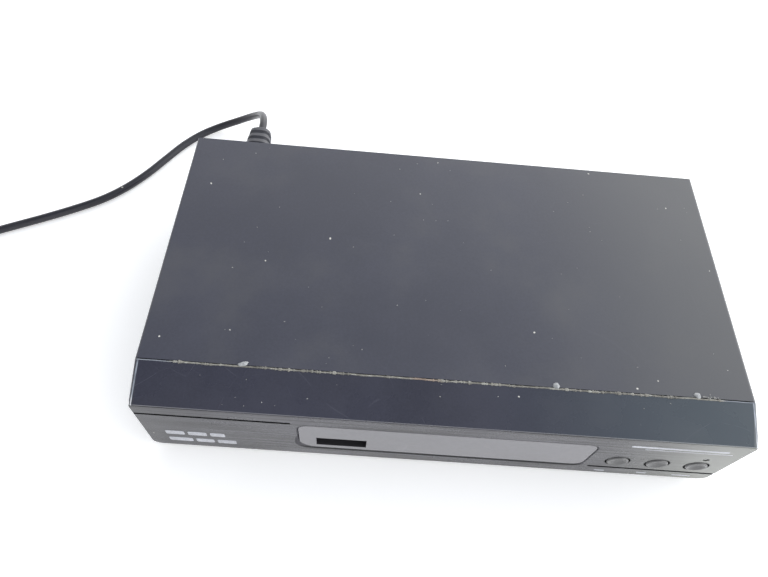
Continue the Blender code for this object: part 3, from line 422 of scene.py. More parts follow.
class Group(Tree):
    """The inside of an effect group, with its named sockets."""

    def __init__(self, effect: Effect, outputs: tuple[str, ...], **inputs: float) -> None:
        """Begin the group: a Vector comes first, then numbers.

        Args:
            effect: Which group.
            outputs: Names of the number sockets that it puts out.
            **inputs: Number sockets and their first values.
        """
        super().__init__(bpy.data.node_groups.new(effect.value, "ShaderNodeTree"))
        face = self.tree.interface
        face.new_socket("Vector", in_out="INPUT", socket_type="NodeSocketVector")
        for name, value in inputs.items():
            face.new_socket(name, in_out="INPUT", socket_type="NodeSocketFloat").default_value = value
        for name in outputs:
            face.new_socket(name, in_out="OUTPUT", socket_type="NodeSocketFloat")
        self.given = self.tree.nodes.new("NodeGroupInput").outputs
        self.out = self.tree.nodes.new("NodeGroupOutput").inputs

    def done(self, **results: Any) -> bpy.types.NodeTree:
        """Feed the named outputs and give back the finished group.

        Args:
            **results: Output name to what feeds it.

        Returns:
            The group.
        """
        for name, value in results.items():
            self.link(value, self.out[name])
        return self.tree


class EffectKit:
    """The effect groups, each built once."""

    def __init__(self) -> None:
        """Build every group."""
        self.groups = {
            Effect.GRAIN: self.grain(),
            Effect.DUST: self.dust(),
            Effect.SCRATCH: self.scratches(),
            Effect.BRUSH: self.brushed(),
            Effect.SMUDGE: self.smudges(),
        }

    def use(self, tree: Tree, effect: Effect, vector: Any, **inputs: float) -> Any:
        """Place a group in a material with its own values, and give back its outputs."""
        return tree.add("Group", {"Vector": vector, **inputs}, node_tree=self.groups[effect]).outputs

    def grain(self) -> bpy.types.NodeTree:
        """Fine pimples for height, and slow drifts and fine pits for tone.

        Returns:
            The group.
        """
        group = Group(Effect.GRAIN, ("Height", "Tone"), Scale=1500.0, Drift=30.0)
        vector, scale = group.given["Vector"], group.given["Scale"]
        pits = group.noise(vector, scale, 2.0, 0.6)
        fine = group.noise(vector, group.maths("MULTIPLY", scale, 3.1), 1.0)
        drift = group.noise(vector, group.given["Drift"], 4.0, 0.55)
        return group.done(Height=group.maths("MULTIPLY_ADD", fine, 0.35, pits),
                          Tone=group.maths("MULTIPLY_ADD", group.maths("SUBTRACT", pits, 0.5), 0.6, drift))

    def dust(self) -> bpy.types.NodeTree:
        """Scattered specks: a cell holds one when its random number is under Amount.

        Returns:
            The group.
        """
        group = Group(Effect.DUST, ("Mask",), Scale=300.0, Amount=0.1, Size=0.2)
        moved = group.warp(group.given["Vector"], 900.0, 2.0, 0.0009)
        cell = group.add("TexVoronoi", {"Vector": moved, "Scale": group.given["Scale"]})
        pick = group.add("SeparateColor", {"Color": cell.outputs["Color"]})
        held = group.maths("LESS_THAN", pick.outputs["Red"], group.given["Amount"])
        size = group.maths("MULTIPLY", group.given["Size"], group.maths("ADD", pick.outputs["Green"], 0.3))
        reach = group.maths("DIVIDE", cell.outputs["Distance"], size)
        near = group.maths("SUBTRACT", 1.0, reach, clamp=True)
        return group.done(Mask=group.maths("MULTIPLY", group.ramp(near, 0.0, 0.5), held))

    def scratches(self) -> bpy.types.NodeTree:
        """Thin broken arcs: the borders of large warped cells, kept where a slow noise is high.

        Returns:
            The group.
        """
        group = Group(Effect.SCRATCH, ("Mask",), Scale=40.0, Width=0.01, Amount=0.4)
        vector = group.given["Vector"]
        cell = group.add("TexVoronoi", {"Vector": group.warp(vector, 25.0, 1.0, 0.03),
                                        "Scale": group.given["Scale"]}, feature="DISTANCE_TO_EDGE")
        reach = group.maths("DIVIDE", cell.outputs["Distance"], group.given["Width"])
        line = group.maths("SUBTRACT", 1.0, reach, clamp=True)
        broken = group.ramp(group.noise(vector, 120.0, 2.0), 0.62, 0.45)
        keep = group.maths("MULTIPLY", group.maths("SUBTRACT", 1.0, broken), group.given["Amount"])
        return group.done(Mask=group.maths("MULTIPLY", line, keep))

    def brushed(self) -> bpy.types.NodeTree:
        """Long lines along X: noise on coordinates that are squeezed along X.

        Returns:
            The group.
        """
        group = Group(Effect.BRUSH, ("Lines",), Across=950.0, Along=20.0)
        factors = (group.given["Along"], group.given["Across"], group.given["Across"])
        parts = zip(range(3), group.split(group.given["Vector"]), factors)
        squeezed = group.add("CombineXYZ", {k: group.maths("MULTIPLY", part, by) for k, part, by in parts})
        return group.done(Lines=group.noise(squeezed.outputs[0], 1.0, 3.0, 0.6))

    def smudges(self) -> bpy.types.NodeTree:
        """Soft cloudy patches from handling, with a little finer breakup.

        Returns:
            The group.
        """
        group = Group(Effect.SMUDGE, ("Mask",), Scale=45.0)
        wide = group.noise(group.given["Vector"], group.given["Scale"], 5.0, 0.6)
        return group.done(Mask=group.ramp(wide, 0.38, 0.68))


# ---------------------------------------------------------------- finishes


@dataclass(frozen=True)
class Finish:
    """A surface finish: a base look with grain, smudges, dust and scratches laid over it."""

    name: str
    colour: Colour
    roughness: float
    metallic: float = 0.0
    tone: float = 0.18
    grain: float = 1500.0
    relief: float = 0.00001
    drift: float = 30.0
    smudge: float = 0.06
    dust: float = 0.0
    dust_scale: float = 330.0
    dust_size: float = 0.22
    dust_colour: Colour = (0.62, 0.61, 0.57)
    scratch: float = 0.0
    scratch_width: float = 0.010
    brushed: float = 0.0
    coat: float = 0.0
    coat_roughness: float = 0.1
    ior: float = 1.5

    def shades(self, tree: Tree, vector: Any, tone: Any) -> Any:
        """Base colour before wear: the colour darkened and lightened by tone.

        Args:
            tree: The material's tree.
            vector: Object coordinates.
            tone: The grain's tone, about 0 to 1.

        Returns:
            The colour.
        """
        dark, light = (tuple(min(1.0, c * by) for c in self.colour)
                       for by in (1 - self.tone, 1 + self.tone))
        return tree.blend(tree.ramp(tone, 0.25, 0.75), dark, light)

    def build(self, kit: EffectKit) -> bpy.types.Material:
        """Make the node material.

        Args:
            kit: The shared effect groups.

        Returns:
            The material.
        """
        made = bpy.data.materials.new(self.name)
        made.use_nodes = True
        tree = Tree(made.node_tree)
        sockets = made.node_tree.nodes["Principled BSDF"].inputs
        vector = tree.add("TexCoord").outputs["Object"]
        grain = kit.use(tree, Effect.GRAIN, vector, Scale=self.grain, Drift=self.drift)
        tone, height = grain["Tone"], grain["Height"]
        if self.brushed:
            lines = kit.use(tree, Effect.BRUSH, vector)["Lines"]
            tone = tree.maths("MULTIPLY_ADD", tree.maths("SUBTRACT", lines, 0.5), self.brushed, tone)
            height = tree.maths("MULTIPLY_ADD", lines, self.brushed, height)
        colour = self.shades(tree, vector, tone)
        smudge = tree.maths("SUBTRACT", kit.use(tree, Effect.SMUDGE, vector)["Mask"], 0.5)
        rough = tree.maths("MULTIPLY_ADD", smudge, 2 * self.smudge, self.roughness)
        if self.scratch:
            mask = kit.use(tree, Effect.SCRATCH, vector, Width=self.scratch_width,
                           Amount=self.scratch)["Mask"]
            colour = tree.blend(mask, colour, tuple(min(1.0, c * 2.2 + 0.05) for c in self.colour))
            rough = tree.maths("MULTIPLY_ADD", mask, 0.25, rough)
        if self.dust:
            mask = kit.use(tree, Effect.DUST, vector, Scale=self.dust_scale, Amount=self.dust,
                           Size=self.dust_size)["Mask"]
            colour = tree.blend(mask, colour, self.dust_colour)
            rough = tree.maths("MULTIPLY_ADD", mask, 0.4, rough, clamp=True)
        bump = tree.add("Bump", {"Height": height, "Distance": self.relief, "Strength": 1.0})
        for name, value in (("Base Color", colour), ("Roughness", rough), ("Normal", bump.outputs[0]),
                            ("Metallic", self.metallic), ("IOR", self.ior), ("Coat Weight", self.coat),
                            ("Coat Roughness", self.coat_roughness)):
            tree.link(value, sockets[name])
        return made


@dataclass(frozen=True)
class PlateFinish(Finish):
    """The front plate: brushed, paler towards its right-hand end, with painted shade in its grooves and round
    the buttons.
    """

    pale: Colour = (0.205, 0.212, 0.192)
    shaded: Colour = (0.012, 0.012, 0.017)
    painted_shade: Colour = (0.006, 0.006, 0.008)
    # Spans that a look changes over: X to the pale and the shaded end, and the edges of the painted shade.
    pale_x: Pair = (0.042, 0.092)
    shaded_x: Pair = (-0.045, -0.084)
    groove_edge: Pair = (0.00072, 0.00048)
    well_edge: Pair = (0.00390, 0.00368)
    # Where painted shade sits in the two grooves: (height, middle X, half length).
    grooves: tuple[Triple, ...] = ((0.0264, -0.0635, 0.0213), (0.0079, 0.0660, 0.0206))
    # Middle X of each button, and their common height, for a ring of painted shade round each.
    wells: Triple = (0.0522, 0.0639, 0.0756)
    wells_height: float = 0.0140

    def shades(self, tree: Tree, vector: Any, tone: Any) -> Any:
        """As the base finish, then dark to pale along X, then painted shade in the grooves and round the
        buttons.

        Args:
            tree: The material's tree.
            vector: Object coordinates.
            tone: The grain's tone, about 0 to 1.

        Returns:
            The colour.
        """
        x, _, z = tree.split(vector)
        shade = tree.ramp(x, *self.shaded_x, 0.0, 0.6)
        base = tree.blend(shade, super().shades(tree, vector, tone), self.shaded)
        colour = tree.blend(tree.ramp(x, *self.pale_x), base, self.pale)
        # Painted shade: near black in the two grooves and in a ring round each button.
        masks = [tree.maths("MULTIPLY", tree.ramp(tree.away(z, height), *self.groove_edge),
                            tree.ramp(tree.away(x, middle), half, half - 0.0003))
                 for height, middle, half in self.grooves]
        up = tree.maths("SUBTRACT", z, self.wells_height)
        for middle in self.wells:
            side = tree.maths("SUBTRACT", x, middle)
            square = tree.maths("MULTIPLY_ADD", side, side, tree.maths("MULTIPLY", up, up))
            masks.append(tree.ramp(tree.maths("SQRT", square), *self.well_edge))
        whole = masks[0]
        for mask in masks[1:]:
            whole = tree.maths("MAXIMUM", whole, mask)
        return tree.blend(whole, colour, self.painted_shade)


@dataclass(frozen=True)
class BedFinish(Finish):
    """The lip round the window: as the plate above, and dark with painted shade along the lower edge."""

    painted_shade: Colour = (0.008, 0.008, 0.010)
    painted_shade_z: Pair = (0.0093, 0.0087)

    def shades(self, tree: Tree, vector: Any, tone: Any) -> Any:
        """As the base finish, blended to painted shade under a height.

        Args:
            tree: The material's tree.
            vector: Object coordinates.
            tone: The grain's tone, about 0 to 1.

        Returns:
            The colour.
        """
        # Painted shade along the lower edge, for the gap under the window.
        low_down = tree.ramp(tree.split(vector)[2], *self.painted_shade_z)
        return tree.blend(low_down, super().shades(tree, vector, tone), self.painted_shade)


@dataclass(frozen=True)
class HoodFinish(Finish):
    """The front hood: paler to the right as a painted reflection, and a painted highlight along its two side
    edges.
    """

    edge_highlight: Colour = (0.30, 0.33, 0.38)
    glint: Colour = (0.75, 0.77, 0.80)
    right_paler: Colour = (0.055, 0.070, 0.084)
    edge: float = 0.0832
    right_paler_x: Pair = (0.0, 0.084)
    edge_width: Pair = (0.00028, 0.00012)
    edge_foot: Pair = (0.0300, 0.0315)
    glint_z: Pair = (0.0333, 0.0328)

    def shades(self, tree: Tree, vector: Any, tone: Any) -> Any:
        """As the base finish, paler along X as a painted reflection, with a broken painted highlight near
        each side edge and a painted glint at its lower end.

        Args:
            tree: The material's tree.
            vector: Object coordinates.
            tone: The grain's tone, about 0 to 1.

        Returns:
            The colour.
        """
        x, _, z = tree.split(vector)
        # Painted reflection: paler towards the right.
        colour = tree.blend(tree.ramp(x, *self.right_paler_x), super().shades(tree, vector, tone), self.right_paler)
        # Painted highlight: a broken pale line along each side edge, with a painted glint at its lower end.
        off = tree.away(tree.maths("ABSOLUTE", x), self.edge)
        broken = tree.ramp(tree.noise(vector, 260.0, 3.0), 0.30, 0.62, 0.45, 1.0)
        line = tree.maths("MULTIPLY", tree.ramp(off, *self.edge_width), tree.ramp(z, *self.edge_foot))
        painted_highlight = tree.blend(tree.ramp(z, *self.glint_z), self.edge_highlight, self.glint)
        return tree.blend(tree.maths("MULTIPLY", line, broken), colour, painted_highlight)


@dataclass(frozen=True)
class CoverFinish(Finish):
    """The steel cover: dusty patches, and a little paler to the right."""

    right_paler: Colour = (0.078, 0.080, 0.084)
    patchy: Colour = (0.066, 0.067, 0.077)
    right_paler_x: Pair = (0.015, 0.085)

    def shades(self, tree: Tree, vector: Any, tone: Any) -> Any:
        """As the base finish, blended to a pale film in slow patches, then to a paler colour along X.

        Args:
            tree: The material's tree.
            vector: Object coordinates.
            tone: The grain's tone, about 0 to 1.

        Returns:
            The colour.
        """
        film = tree.ramp(tree.noise(vector, 26.0, 5.0, 0.6), 0.46, 0.72, 0.0, 0.75)
        colour = tree.blend(film, super().shades(tree, vector, tone), self.patchy)
        return tree.blend(tree.ramp(tree.split(vector)[0], *self.right_paler_x, 0.0, 0.8), colour, self.right_paler)


@dataclass(frozen=True)
class WindowFinish(Finish):
    """The smoked window: its front as the base look, and everything behind the front unlit dark."""

    behind_y: Pair = (-0.05049, -0.05037)
    dark: Colour = (0.033, 0.032, 0.036)

    def shades(self, tree: Tree, vector: Any, tone: Any) -> Any:
        """As the base finish, blended to dark behind a set Y.

        Args:
            tree: The material's tree.
            vector: Object coordinates.
            tone: The grain's tone, about 0 to 1.

        Returns:
            The colour.
        """
        behind = tree.ramp(tree.split(vector)[1], *self.behind_y)
        return tree.blend(behind, super().shades(tree, vector, tone), self.dark)


@dataclass(frozen=True)
class CrustFinish(Finish):
    """Seam crust: dust with whiter glue showing in places, a rusty stretch, and a painted highlight at its
    ends.
    """

    glue: Colour = (0.37, 0.37, 0.34)
    rust: Colour = (0.30, 0.20, 0.15)
    end_highlight: Colour = (0.24, 0.26, 0.30)
    rust_x: float = -0.007
    rust_half: Pair = (0.005, 0.002)
    end_highlight_x: Pair = (0.0735, 0.0765)

    def shades(self, tree: Tree, vector: Any, tone: Any) -> Any:
        """As the base finish, then glue where a noise is high, rust about one X and a painted highlight far
        out.

        Args:
            tree: The material's tree.
            vector: Object coordinates.
            tone: The grain's tone, about 0 to 1.

        Returns:
            The colour.
        """
        x = tree.split(vector)[0]
        white = tree.ramp(tree.noise(vector, 420.0, 4.0, 0.65), 0.50, 0.68)
        near = tree.ramp(tree.away(x, self.rust_x), *self.rust_half, 0.0, 0.55)
        crust = tree.blend(white, super().shades(tree, vector, tone), self.glue)
        # Painted highlight at the seam's two ends.
        far_out = tree.ramp(tree.maths("ABSOLUTE", x), *self.end_highlight_x)
        return tree.blend(far_out, tree.blend(near, crust, self.rust), self.end_highlight)


BLACK_STEEL = CoverFinish(
    "black_steel", (0.044, 0.046, 0.064), 0.38, tone=0.10, grain=1300, drift=22, smudge=0.03, dust=0.09,
    dust_size=0.11, scratch=0.05, scratch_width=0.005)
TRAY_STEEL = Finish(
    "tray_steel", (0.50, 0.51, 0.52), 0.36, metallic=1.0, tone=0.10, grain=900, relief=0.000006,
    brushed=0.3, scratch=0.25, dust=0.04, dust_size=0.15)
BLACK_PLASTIC = HoodFinish(
    "black_plastic", (0.036, 0.037, 0.054), 0.30, tone=0.14, grain=1800, relief=0.000006, smudge=0.07,
    dust=0.06, dust_scale=320, dust_size=0.12, scratch=0.22, scratch_width=0.005)
PLATE_PLASTIC = PlateFinish(
    "plate_plastic", (0.050, 0.049, 0.057), 0.26, tone=0.50, grain=1900, relief=0.000007, brushed=2.4,
    dust=0.05, dust_size=0.12, scratch=0.12, ior=1.39)
SMOKED = WindowFinish(
    "smoked_plastic", (0.128, 0.125, 0.140), 0.12, tone=0.05, grain=700, relief=0.0000015, smudge=0.05,
    dust=0.04, dust_size=0.10, scratch=0.06, coat=0.3, coat_roughness=0.06)
BUTTON = Finish(
    "button_plastic", (0.125, 0.125, 0.127), 0.24, tone=0.12, grain=1700, relief=0.000004, smudge=0.08,
    dust=0.06, dust_size=0.14, scratch=0.3)
BOARD = Finish("board_green", (0.020, 0.120, 0.045), 0.38, tone=0.25, grain=600, brushed=0.3, dust=0.1)
CHIP = Finish("chip_black", (0.022, 0.022, 0.024), 0.45, tone=0.25, grain=2600, relief=0.000015, dust=0.06)
METAL = Finish(
    "bright_metal", (0.62, 0.61, 0.59), 0.24, metallic=1.0, tone=0.08, grain=1200, relief=0.000005,
    smudge=0.10, scratch=0.4, dust=0.05, dust_size=0.12, dust_colour=(0.30, 0.27, 0.22))
LENS = Finish(
    "lens_clear", (0.050, 0.048, 0.052), 0.10, tone=0.10, grain=900, relief=0.000002, coat=0.6,
    coat_roughness=0.04)
PALE = Finish(
    "pale_plastic", (0.70, 0.69, 0.64), 0.42, tone=0.08, grain=1400, relief=0.000012, dust=0.08,
    dust_colour=(0.30, 0.28, 0.25))
RUBBER = Finish(
    "foot_rubber", (0.020, 0.020, 0.021), 0.72, tone=0.30, grain=1100, relief=0.00004, dust=0.15,
    dust_scale=500)
LEAD = Finish(
    "lead_black", (0.014, 0.014, 0.021), 0.42, tone=0.25, relief=0.00002, smudge=0.10, dust=0.06,
    dust_scale=420, dust_size=0.18)
RESIDUE = CrustFinish(
    "seam_residue", (0.180, 0.174, 0.155), 0.70, tone=0.35, grain=1400, relief=0.00008, drift=160)
BLOB = Finish("glue_blob", (0.33, 0.34, 0.35), 0.38, tone=0.16, grain=900, relief=0.00003, drift=500)
BED = BedFinish("window_bed", (0.050, 0.049, 0.057), 0.50, tone=0.35, relief=0.000006, ior=1.2)
FLAKE = Finish("dust_flake", (0.30, 0.30, 0.295), 0.70, tone=0.25, grain=2500, relief=0.00002)
BOOT = Finish(
    "boot_plastic", (0.052, 0.053, 0.064), 0.42, tone=0.16, relief=0.000014, smudge=0.08, dust=0.07,
    dust_scale=420, dust_size=0.14)
# Near black: the USB shell is darkened as painted shade inside its slot.
PORT = Finish(
    "port_metal", (0.030, 0.030, 0.036), 0.50, metallic=0.3, tone=0.10, grain=1200, relief=0.000005)
PRINT = Finish("pale_print", (0.44, 0.45, 0.49), 0.45, tone=0.30, grain=2200, relief=0.000004)

FINISHES = (BLACK_STEEL, TRAY_STEEL, BLACK_PLASTIC, PLATE_PLASTIC, SMOKED, BUTTON, BOARD, CHIP, METAL, LENS,
            PALE, RUBBER, LEAD, RESIDUE, BLOB, BED, FLAKE, BOOT, PORT, PRINT)


class Paint:
    """Every finish as a material, and the dressing of the CAD nodes."""

    def __init__(self) -> None:
        """Build the materials."""
        kit = EffectKit()
        self.made = {finish.name: finish.build(kit) for finish in FINISHES}

    def __getitem__(self, finish: Finish) -> bpy.types.Material:
        """The material of a finish."""
        return self.made[finish.name]

    def dress_frame(self) -> None:
        """Give each CAD node the finish that its own slot is named for; the USB shell gets the near-black
        port finish, as painted shade in its slot.
        """
        for name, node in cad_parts.items():
            for slot in node.material_slots:
                base = slot.material.name.split(".")[0] if slot.material else ""
                slot.material = self.made.get(PORT.name if name == "usb_shell" else base, slot.material)
            LOG.info("dressed %s with %s", name, [s.material.name for s in node.material_slots])


# ---------------------------------------------------------------- cover and hood


@dataclass
class SeamResidue:
    """Old glue and dust along the seam between the cover and the hood, and three drops beside it."""

    paint: Paint
    seam_y: float = -0.03917
    lid: float = 0.0360
    half_length: float = 0.0836
    # How far from the middle the thick crust reaches, and the length that it thins over.
    reach: float = 0.0755
    thinning: float = 0.002
    # Half width of the thin crust, what the thick part adds, and the most that its lumps add.
    half_widths: Triple = (0.00013, 0.00008, 0.00040)
    rise: float = 0.38
    waves: tuple[float, ...] = (900.0, 1700.0, 3100.0, 5200.0, 9100.0)
    # x, y, radius across, radius along, turn in degrees.
    drops: tuple[tuple[float, float, float, float, float], ...] = (
        (-0.0557, -0.0384, 0.00145, 0.00062, 14.0),
        (0.0287, -0.0382, 0.00100, 0.00085, -35.0),
        (0.0677, -0.0381, 0.00095, 0.00085, 20.0),
    )
    # Flakes close to the right-hand drop, all over the cover, and on the hood.
    near_count: int = 16
    wide_count: int = 46
    hood_count: int = 12
    hood_length: float = 0.0115
    hood_fall: float = 0.0033

    def ridge(self) -> Skin:
        """Low crust along the seam.

        Each ring is an ellipse in the Y-Z plane. Its half width is a base plus the
        positive part of several sines of X with seeded phases, and its half height
        is a small base plus a set part of that. It thins near the two ends. Its
        middle wanders by another, slower sum.

        Returns:
            The skin.
        """
        rng = np.random.default_rng(7)
        x = np.linspace(-self.half_length, self.half_length, 900)[:, None]
        waves = np.array(self.waves)
        phase = rng.uniform(0, 2 * np.pi, (2, len(waves)))
        lumps = np.sin(x * waves + phase[0]).sum(1, keepdims=True) / len(waves)
        patches = np.clip(np.sin(x * 150 + 1.0) + 0.6 * np.sin(x * 410 + 2.0) + 0.95, 0.3, 1)
        thick = np.clip((self.reach - abs(x)) / self.thinning, 0, 1)
        thin, more, lumpy = self.half_widths
        half = thin + thick * (more + lumpy * np.clip(lumps + 0.15, 0, 1) * patches)
        drift = 0.000028 * np.sin(x * waves[:3] * 0.35 + phase[1, :3]).sum(1, keepdims=True)
        a = circle(10)
        y = self.seam_y + drift + half * np.cos(a)
        z = self.lid - 0.00006 + (0.00005 + self.rise * half) * np.sin(a)
        return grid_skin(np.stack([x + 0 * a, y, z], -1), along=x[:, 0] - x[0, 0])

    def drop(self, x: float, y: float, across: float, along: float, turn: float, seed: int) -> Skin:
        """One dried drop: a dome on a polar grid, height 0.45 across sqrt(1 - r^2), with a lobed rim.

        Args:
            x: Its middle's X.
            y: Its middle's Y.
            across: Its longer radius.
            along: Its shorter radius.
            turn: Angle of the longer radius from X, in degrees.
            seed: Seed of the lobes.

        Returns:
            The skin, with a flat underside just below the cover's surface.
        """
        rng = np.random.default_rng(seed)
        r = np.sin(quarter(12))[1:, None]
        a = circle(40)
        phase = rng.uniform(0, 2 * np.pi, 3)
        lobes = ((0.10, 2), (0.07, 3), (0.04, 5))
        rim = 1 + sum(size * np.sin(count * a + start) for (size, count), start in zip(lobes, phase))
        u, v = across * r * rim * np.cos(a), along * r * rim * np.sin(a) * (1 - 0.18 * np.sin(a))
        c, s = math.cos(math.radians(turn)), math.sin(math.radians(turn))
        lobed = 1 + 0.12 * np.sin(4 * a + phase[0]) * r
        height = 0.45 * across * np.sqrt(np.clip(1 - r ** 2, 0, 1)) * lobed
        top = np.stack([x + c * u - s * v, y + s * u + c * v, self.lid + height], -1)
        under = np.array([x, y, self.lid - 0.0001]) + (top[-1:] - [x, y, self.lid]) * [0.9, 0.9, 0]
        return grid_skin(np.concatenate([top, under]))

    def crumbs(self) -> Skin:
        """Small flakes scattered on the cover: squashed lumps with seeded places and sizes.

        Returns:
            Every flake in one skin.
        """
        rng = np.random.default_rng(23)
        near, wide, hood = self.near_count, self.wide_count, self.hood_count
        spots = np.vstack([
            np.stack([rng.uniform(0.0690, 0.0742, near), rng.normal(-0.0384, 0.00024, near)], 1),
            np.stack([rng.uniform(-0.080, 0.080, wide), rng.uniform(-0.036, 0.041, wide)], 1),
            np.stack([rng.uniform(-0.080, 0.080, hood), rng.uniform(-0.0492, -0.0398, hood)], 1)])
        size = np.concatenate([rng.uniform(0.00016, 0.00036, near),
                               rng.uniform(0.00008, 0.00020, wide + hood)])
        falls = np.clip((self.seam_y - spots[:, 1]) / self.hood_length, 0, 1) * self.hood_fall
        a = circle(7)
        rings, heights = np.array([[0.55, 1.0, 0.9], [0.5, 0.1, -0.3]])[..., None]
        skins = []
        for (x, y), r, fall, turn in zip(spots, size, falls, rng.uniform(0, 6, len(spots))):
            rim = rings * r * (1 + 0.35 * np.sin(2 * a + turn) + 0.2 * np.sin(3 * a))
            skins.append(grid_skin(np.stack([x + rim * np.cos(a + turn), y + rim * np.sin(a + turn) * 0.8,
                                             self.lid - fall + heights * r + 0 * a], -1)))
        return join(skins)

    def build(self) -> None:
        """Make the crust, the drops and the flakes."""
        place(self.ridge(), "seam_crust", self.paint[RESIDUE], sharp=180)
        for number, drop in enumerate(self.drops, 1):
            place(self.drop(*drop, seed=40 + number), f"glue_drop_{number}", self.paint[BLOB], sharp=180)
        place(self.crumbs(), "dust_flakes", self.paint[FLAKE], sharp=180)


# ---------------------------------------------------------------- front


@dataclass
class Front:
    """Printed marks, push buttons and the bed round the window."""

    paint: Paint
    face: float = -0.05055
    ink: float = 0.00003
    mark_corner: float = 0.0006
    button_radius: float = 0.0031
    button_edge: float = 0.0005
    button_proud: float = 0.0004
    button_dish: float = 0.0010
    flange_start: float = 0.0019
    flange_end: float = 0.0029
    flange_radius: float = 0.0039
    stem_radius: float = 0.0012
    # The window's outline: lowest x, lowest z, highest x, highest z.
    window: tuple[float, float, float, float] = (-0.0405, 0.0085, 0.0432, 0.0256)
    window_corner: float = 0.0032
    bed_corner: float = 0.0056
    bed_gap: float = 0.00002
    bed_back: float = 0.0011
    # Width of the bed and its depth behind the plate's face, and what the lower edge adds to each; the wider
    # lower edge carries painted shade.
    bed_width: Pair = (0.00033, 0.00085)
    bed_depth: Pair = (0.00005, -0.00008)
    # Plain bars stand where marks would be: (lowest x, lowest z, highest x, highest z) in mm.
    bars: tuple[tuple[float, float, float, float], ...] = (
        (-78.4, 11.6, -73.1, 14.4), (-72.1, 11.6, -66.8, 14.4), (-65.8, 11.6, -61.6, 14.4),
        (-78.4, 6.2, -71.6, 9.0), (-70.6, 6.2, -65.4, 9.0), (-64.4, 6.2, -59.0, 9.0),
        (51.2, 26.3, 78.6, 27.5), (55.6, 25.0, 80.4, 25.4),
        (48.6, 4.1, 51.8, 4.9), (61.6, 4.3, 64.8, 5.1), (72.6, 4.3, 78.4, 5.1),
    )

    def marks(self) -> Skin:
        """The printed bars as very thin round-cornered slabs.

        Returns:
            Every bar in one skin.
        """
        slabs = []
        for x0, z0, x1, z1 in np.array(self.bars) * 0.001:
            low, high = np.array([x0, self.face - self.ink, z0]), np.array([x1, self.face + self.ink, z1])
            slabs.append(rounded_slab(low, high, min(self.mark_corner, (z1 - z0) * 0.45), self.ink * 0.5))
        return join(slabs)

    def cap(self, x: float, z: float) -> Skin:
        """Dished push button: depth of the dish is its full depth times 1 - (r / rim)^2, then a round rim.

        Args:
            x: Its middle's X.
            z: Its middle's Z.

        Returns:
            The skin, with the flange and the stem behind the plate.
        """
        rim = self.button_radius - self.button_edge
        r = np.linspace(0, rim, 12)[1:]
        dish = np.stack([r, self.button_dish * (1 - (r / rim) ** 2)], 1)
        t = quarter(7)[1:]
        edge = np.stack([rim + self.button_edge * np.sin(t), self.button_edge * (1 - np.cos(t))], 1)
        low, high, _ = box_of("channel_up_button")
        length = high[1] - low[1]
        back = [[self.button_radius, self.flange_start], [self.flange_radius, self.flange_start],
                [self.flange_radius, self.flange_end], [self.stem_radius, self.flange_end],
                [self.stem_radius, length], [self.stem_radius * 0.5, length]]
        start = np.array([x, self.face - self.button_proud, z])
        return turned_skin(np.vstack([dish, edge, back]), start, (0, 1, 0), 56)

    def window_bed(self) -> Skin:
        """Thin lip that closes most of the gap round the window.

        A closed band follows the round-cornered outline, from its inner side at the
        window to its outer side at the plate. Along the lower edge it widens and
        comes just proud of the plate, by a clipped slope on the outline's normal, as
        a dark strip of painted shade for the gap under the window. At the lower left
        its inner side has a larger radius, so it laps the window.

        Returns:
            The skin.
        """
        x0, z0, x1, z1 = self.window
        corner, gap, back = self.window_corner, self.bed_gap, self.bed_back
        side, angle, sign_x, sign_z = corner_arcs(9)
        hub_x = (x0 + x1) / 2 + sign_x * ((x1 - x0) / 2 - corner)
        hub_z = (z0 + z1) / 2 + sign_z * ((z1 - z0) / 2 - corner)
        lower = np.where(side == 2, 1.0, np.clip((-0.25 - np.sin(angle)) / 0.3, 0, 1))
        wide = self.bed_width[0] + self.bed_width[1] * lower
        deep = self.bed_depth[0] + self.bed_depth[1] * lower
        extra = np.where(side == 2, self.bed_corner - corner, 0.0)
        rings = []
        for grow, more, depth in ((gap, extra, deep), (wide, 0, deep), (wide, 0, back), (gap, extra, back)):
            radius = corner + more + grow
            rings.append(np.stack([hub_x + more + radius * np.cos(angle), self.face + depth + 0 * angle,
                                   hub_z + more + radius * np.sin(angle)], 1))
        return grid_skin(np.stack(rings), ends=Ends.LOOP)

    def build(self) -> None:
        """Make every front piece."""
        place(self.marks(), "front_marks", self.paint[PRINT])
        place(self.window_bed(), "window_bed", self.paint[BED])
        for word in ("channel_down", "channel_up", "standby"):
            x, _, z = box_of(f"{word}_button")[2]
            place(self.cap(x, z), f"{word}_cap", self.paint[BUTTON], body=f"{word}_key",
                  stands_for=(f"{word}_button",), sharp=50)


# ---------------------------------------------------------------- small parts


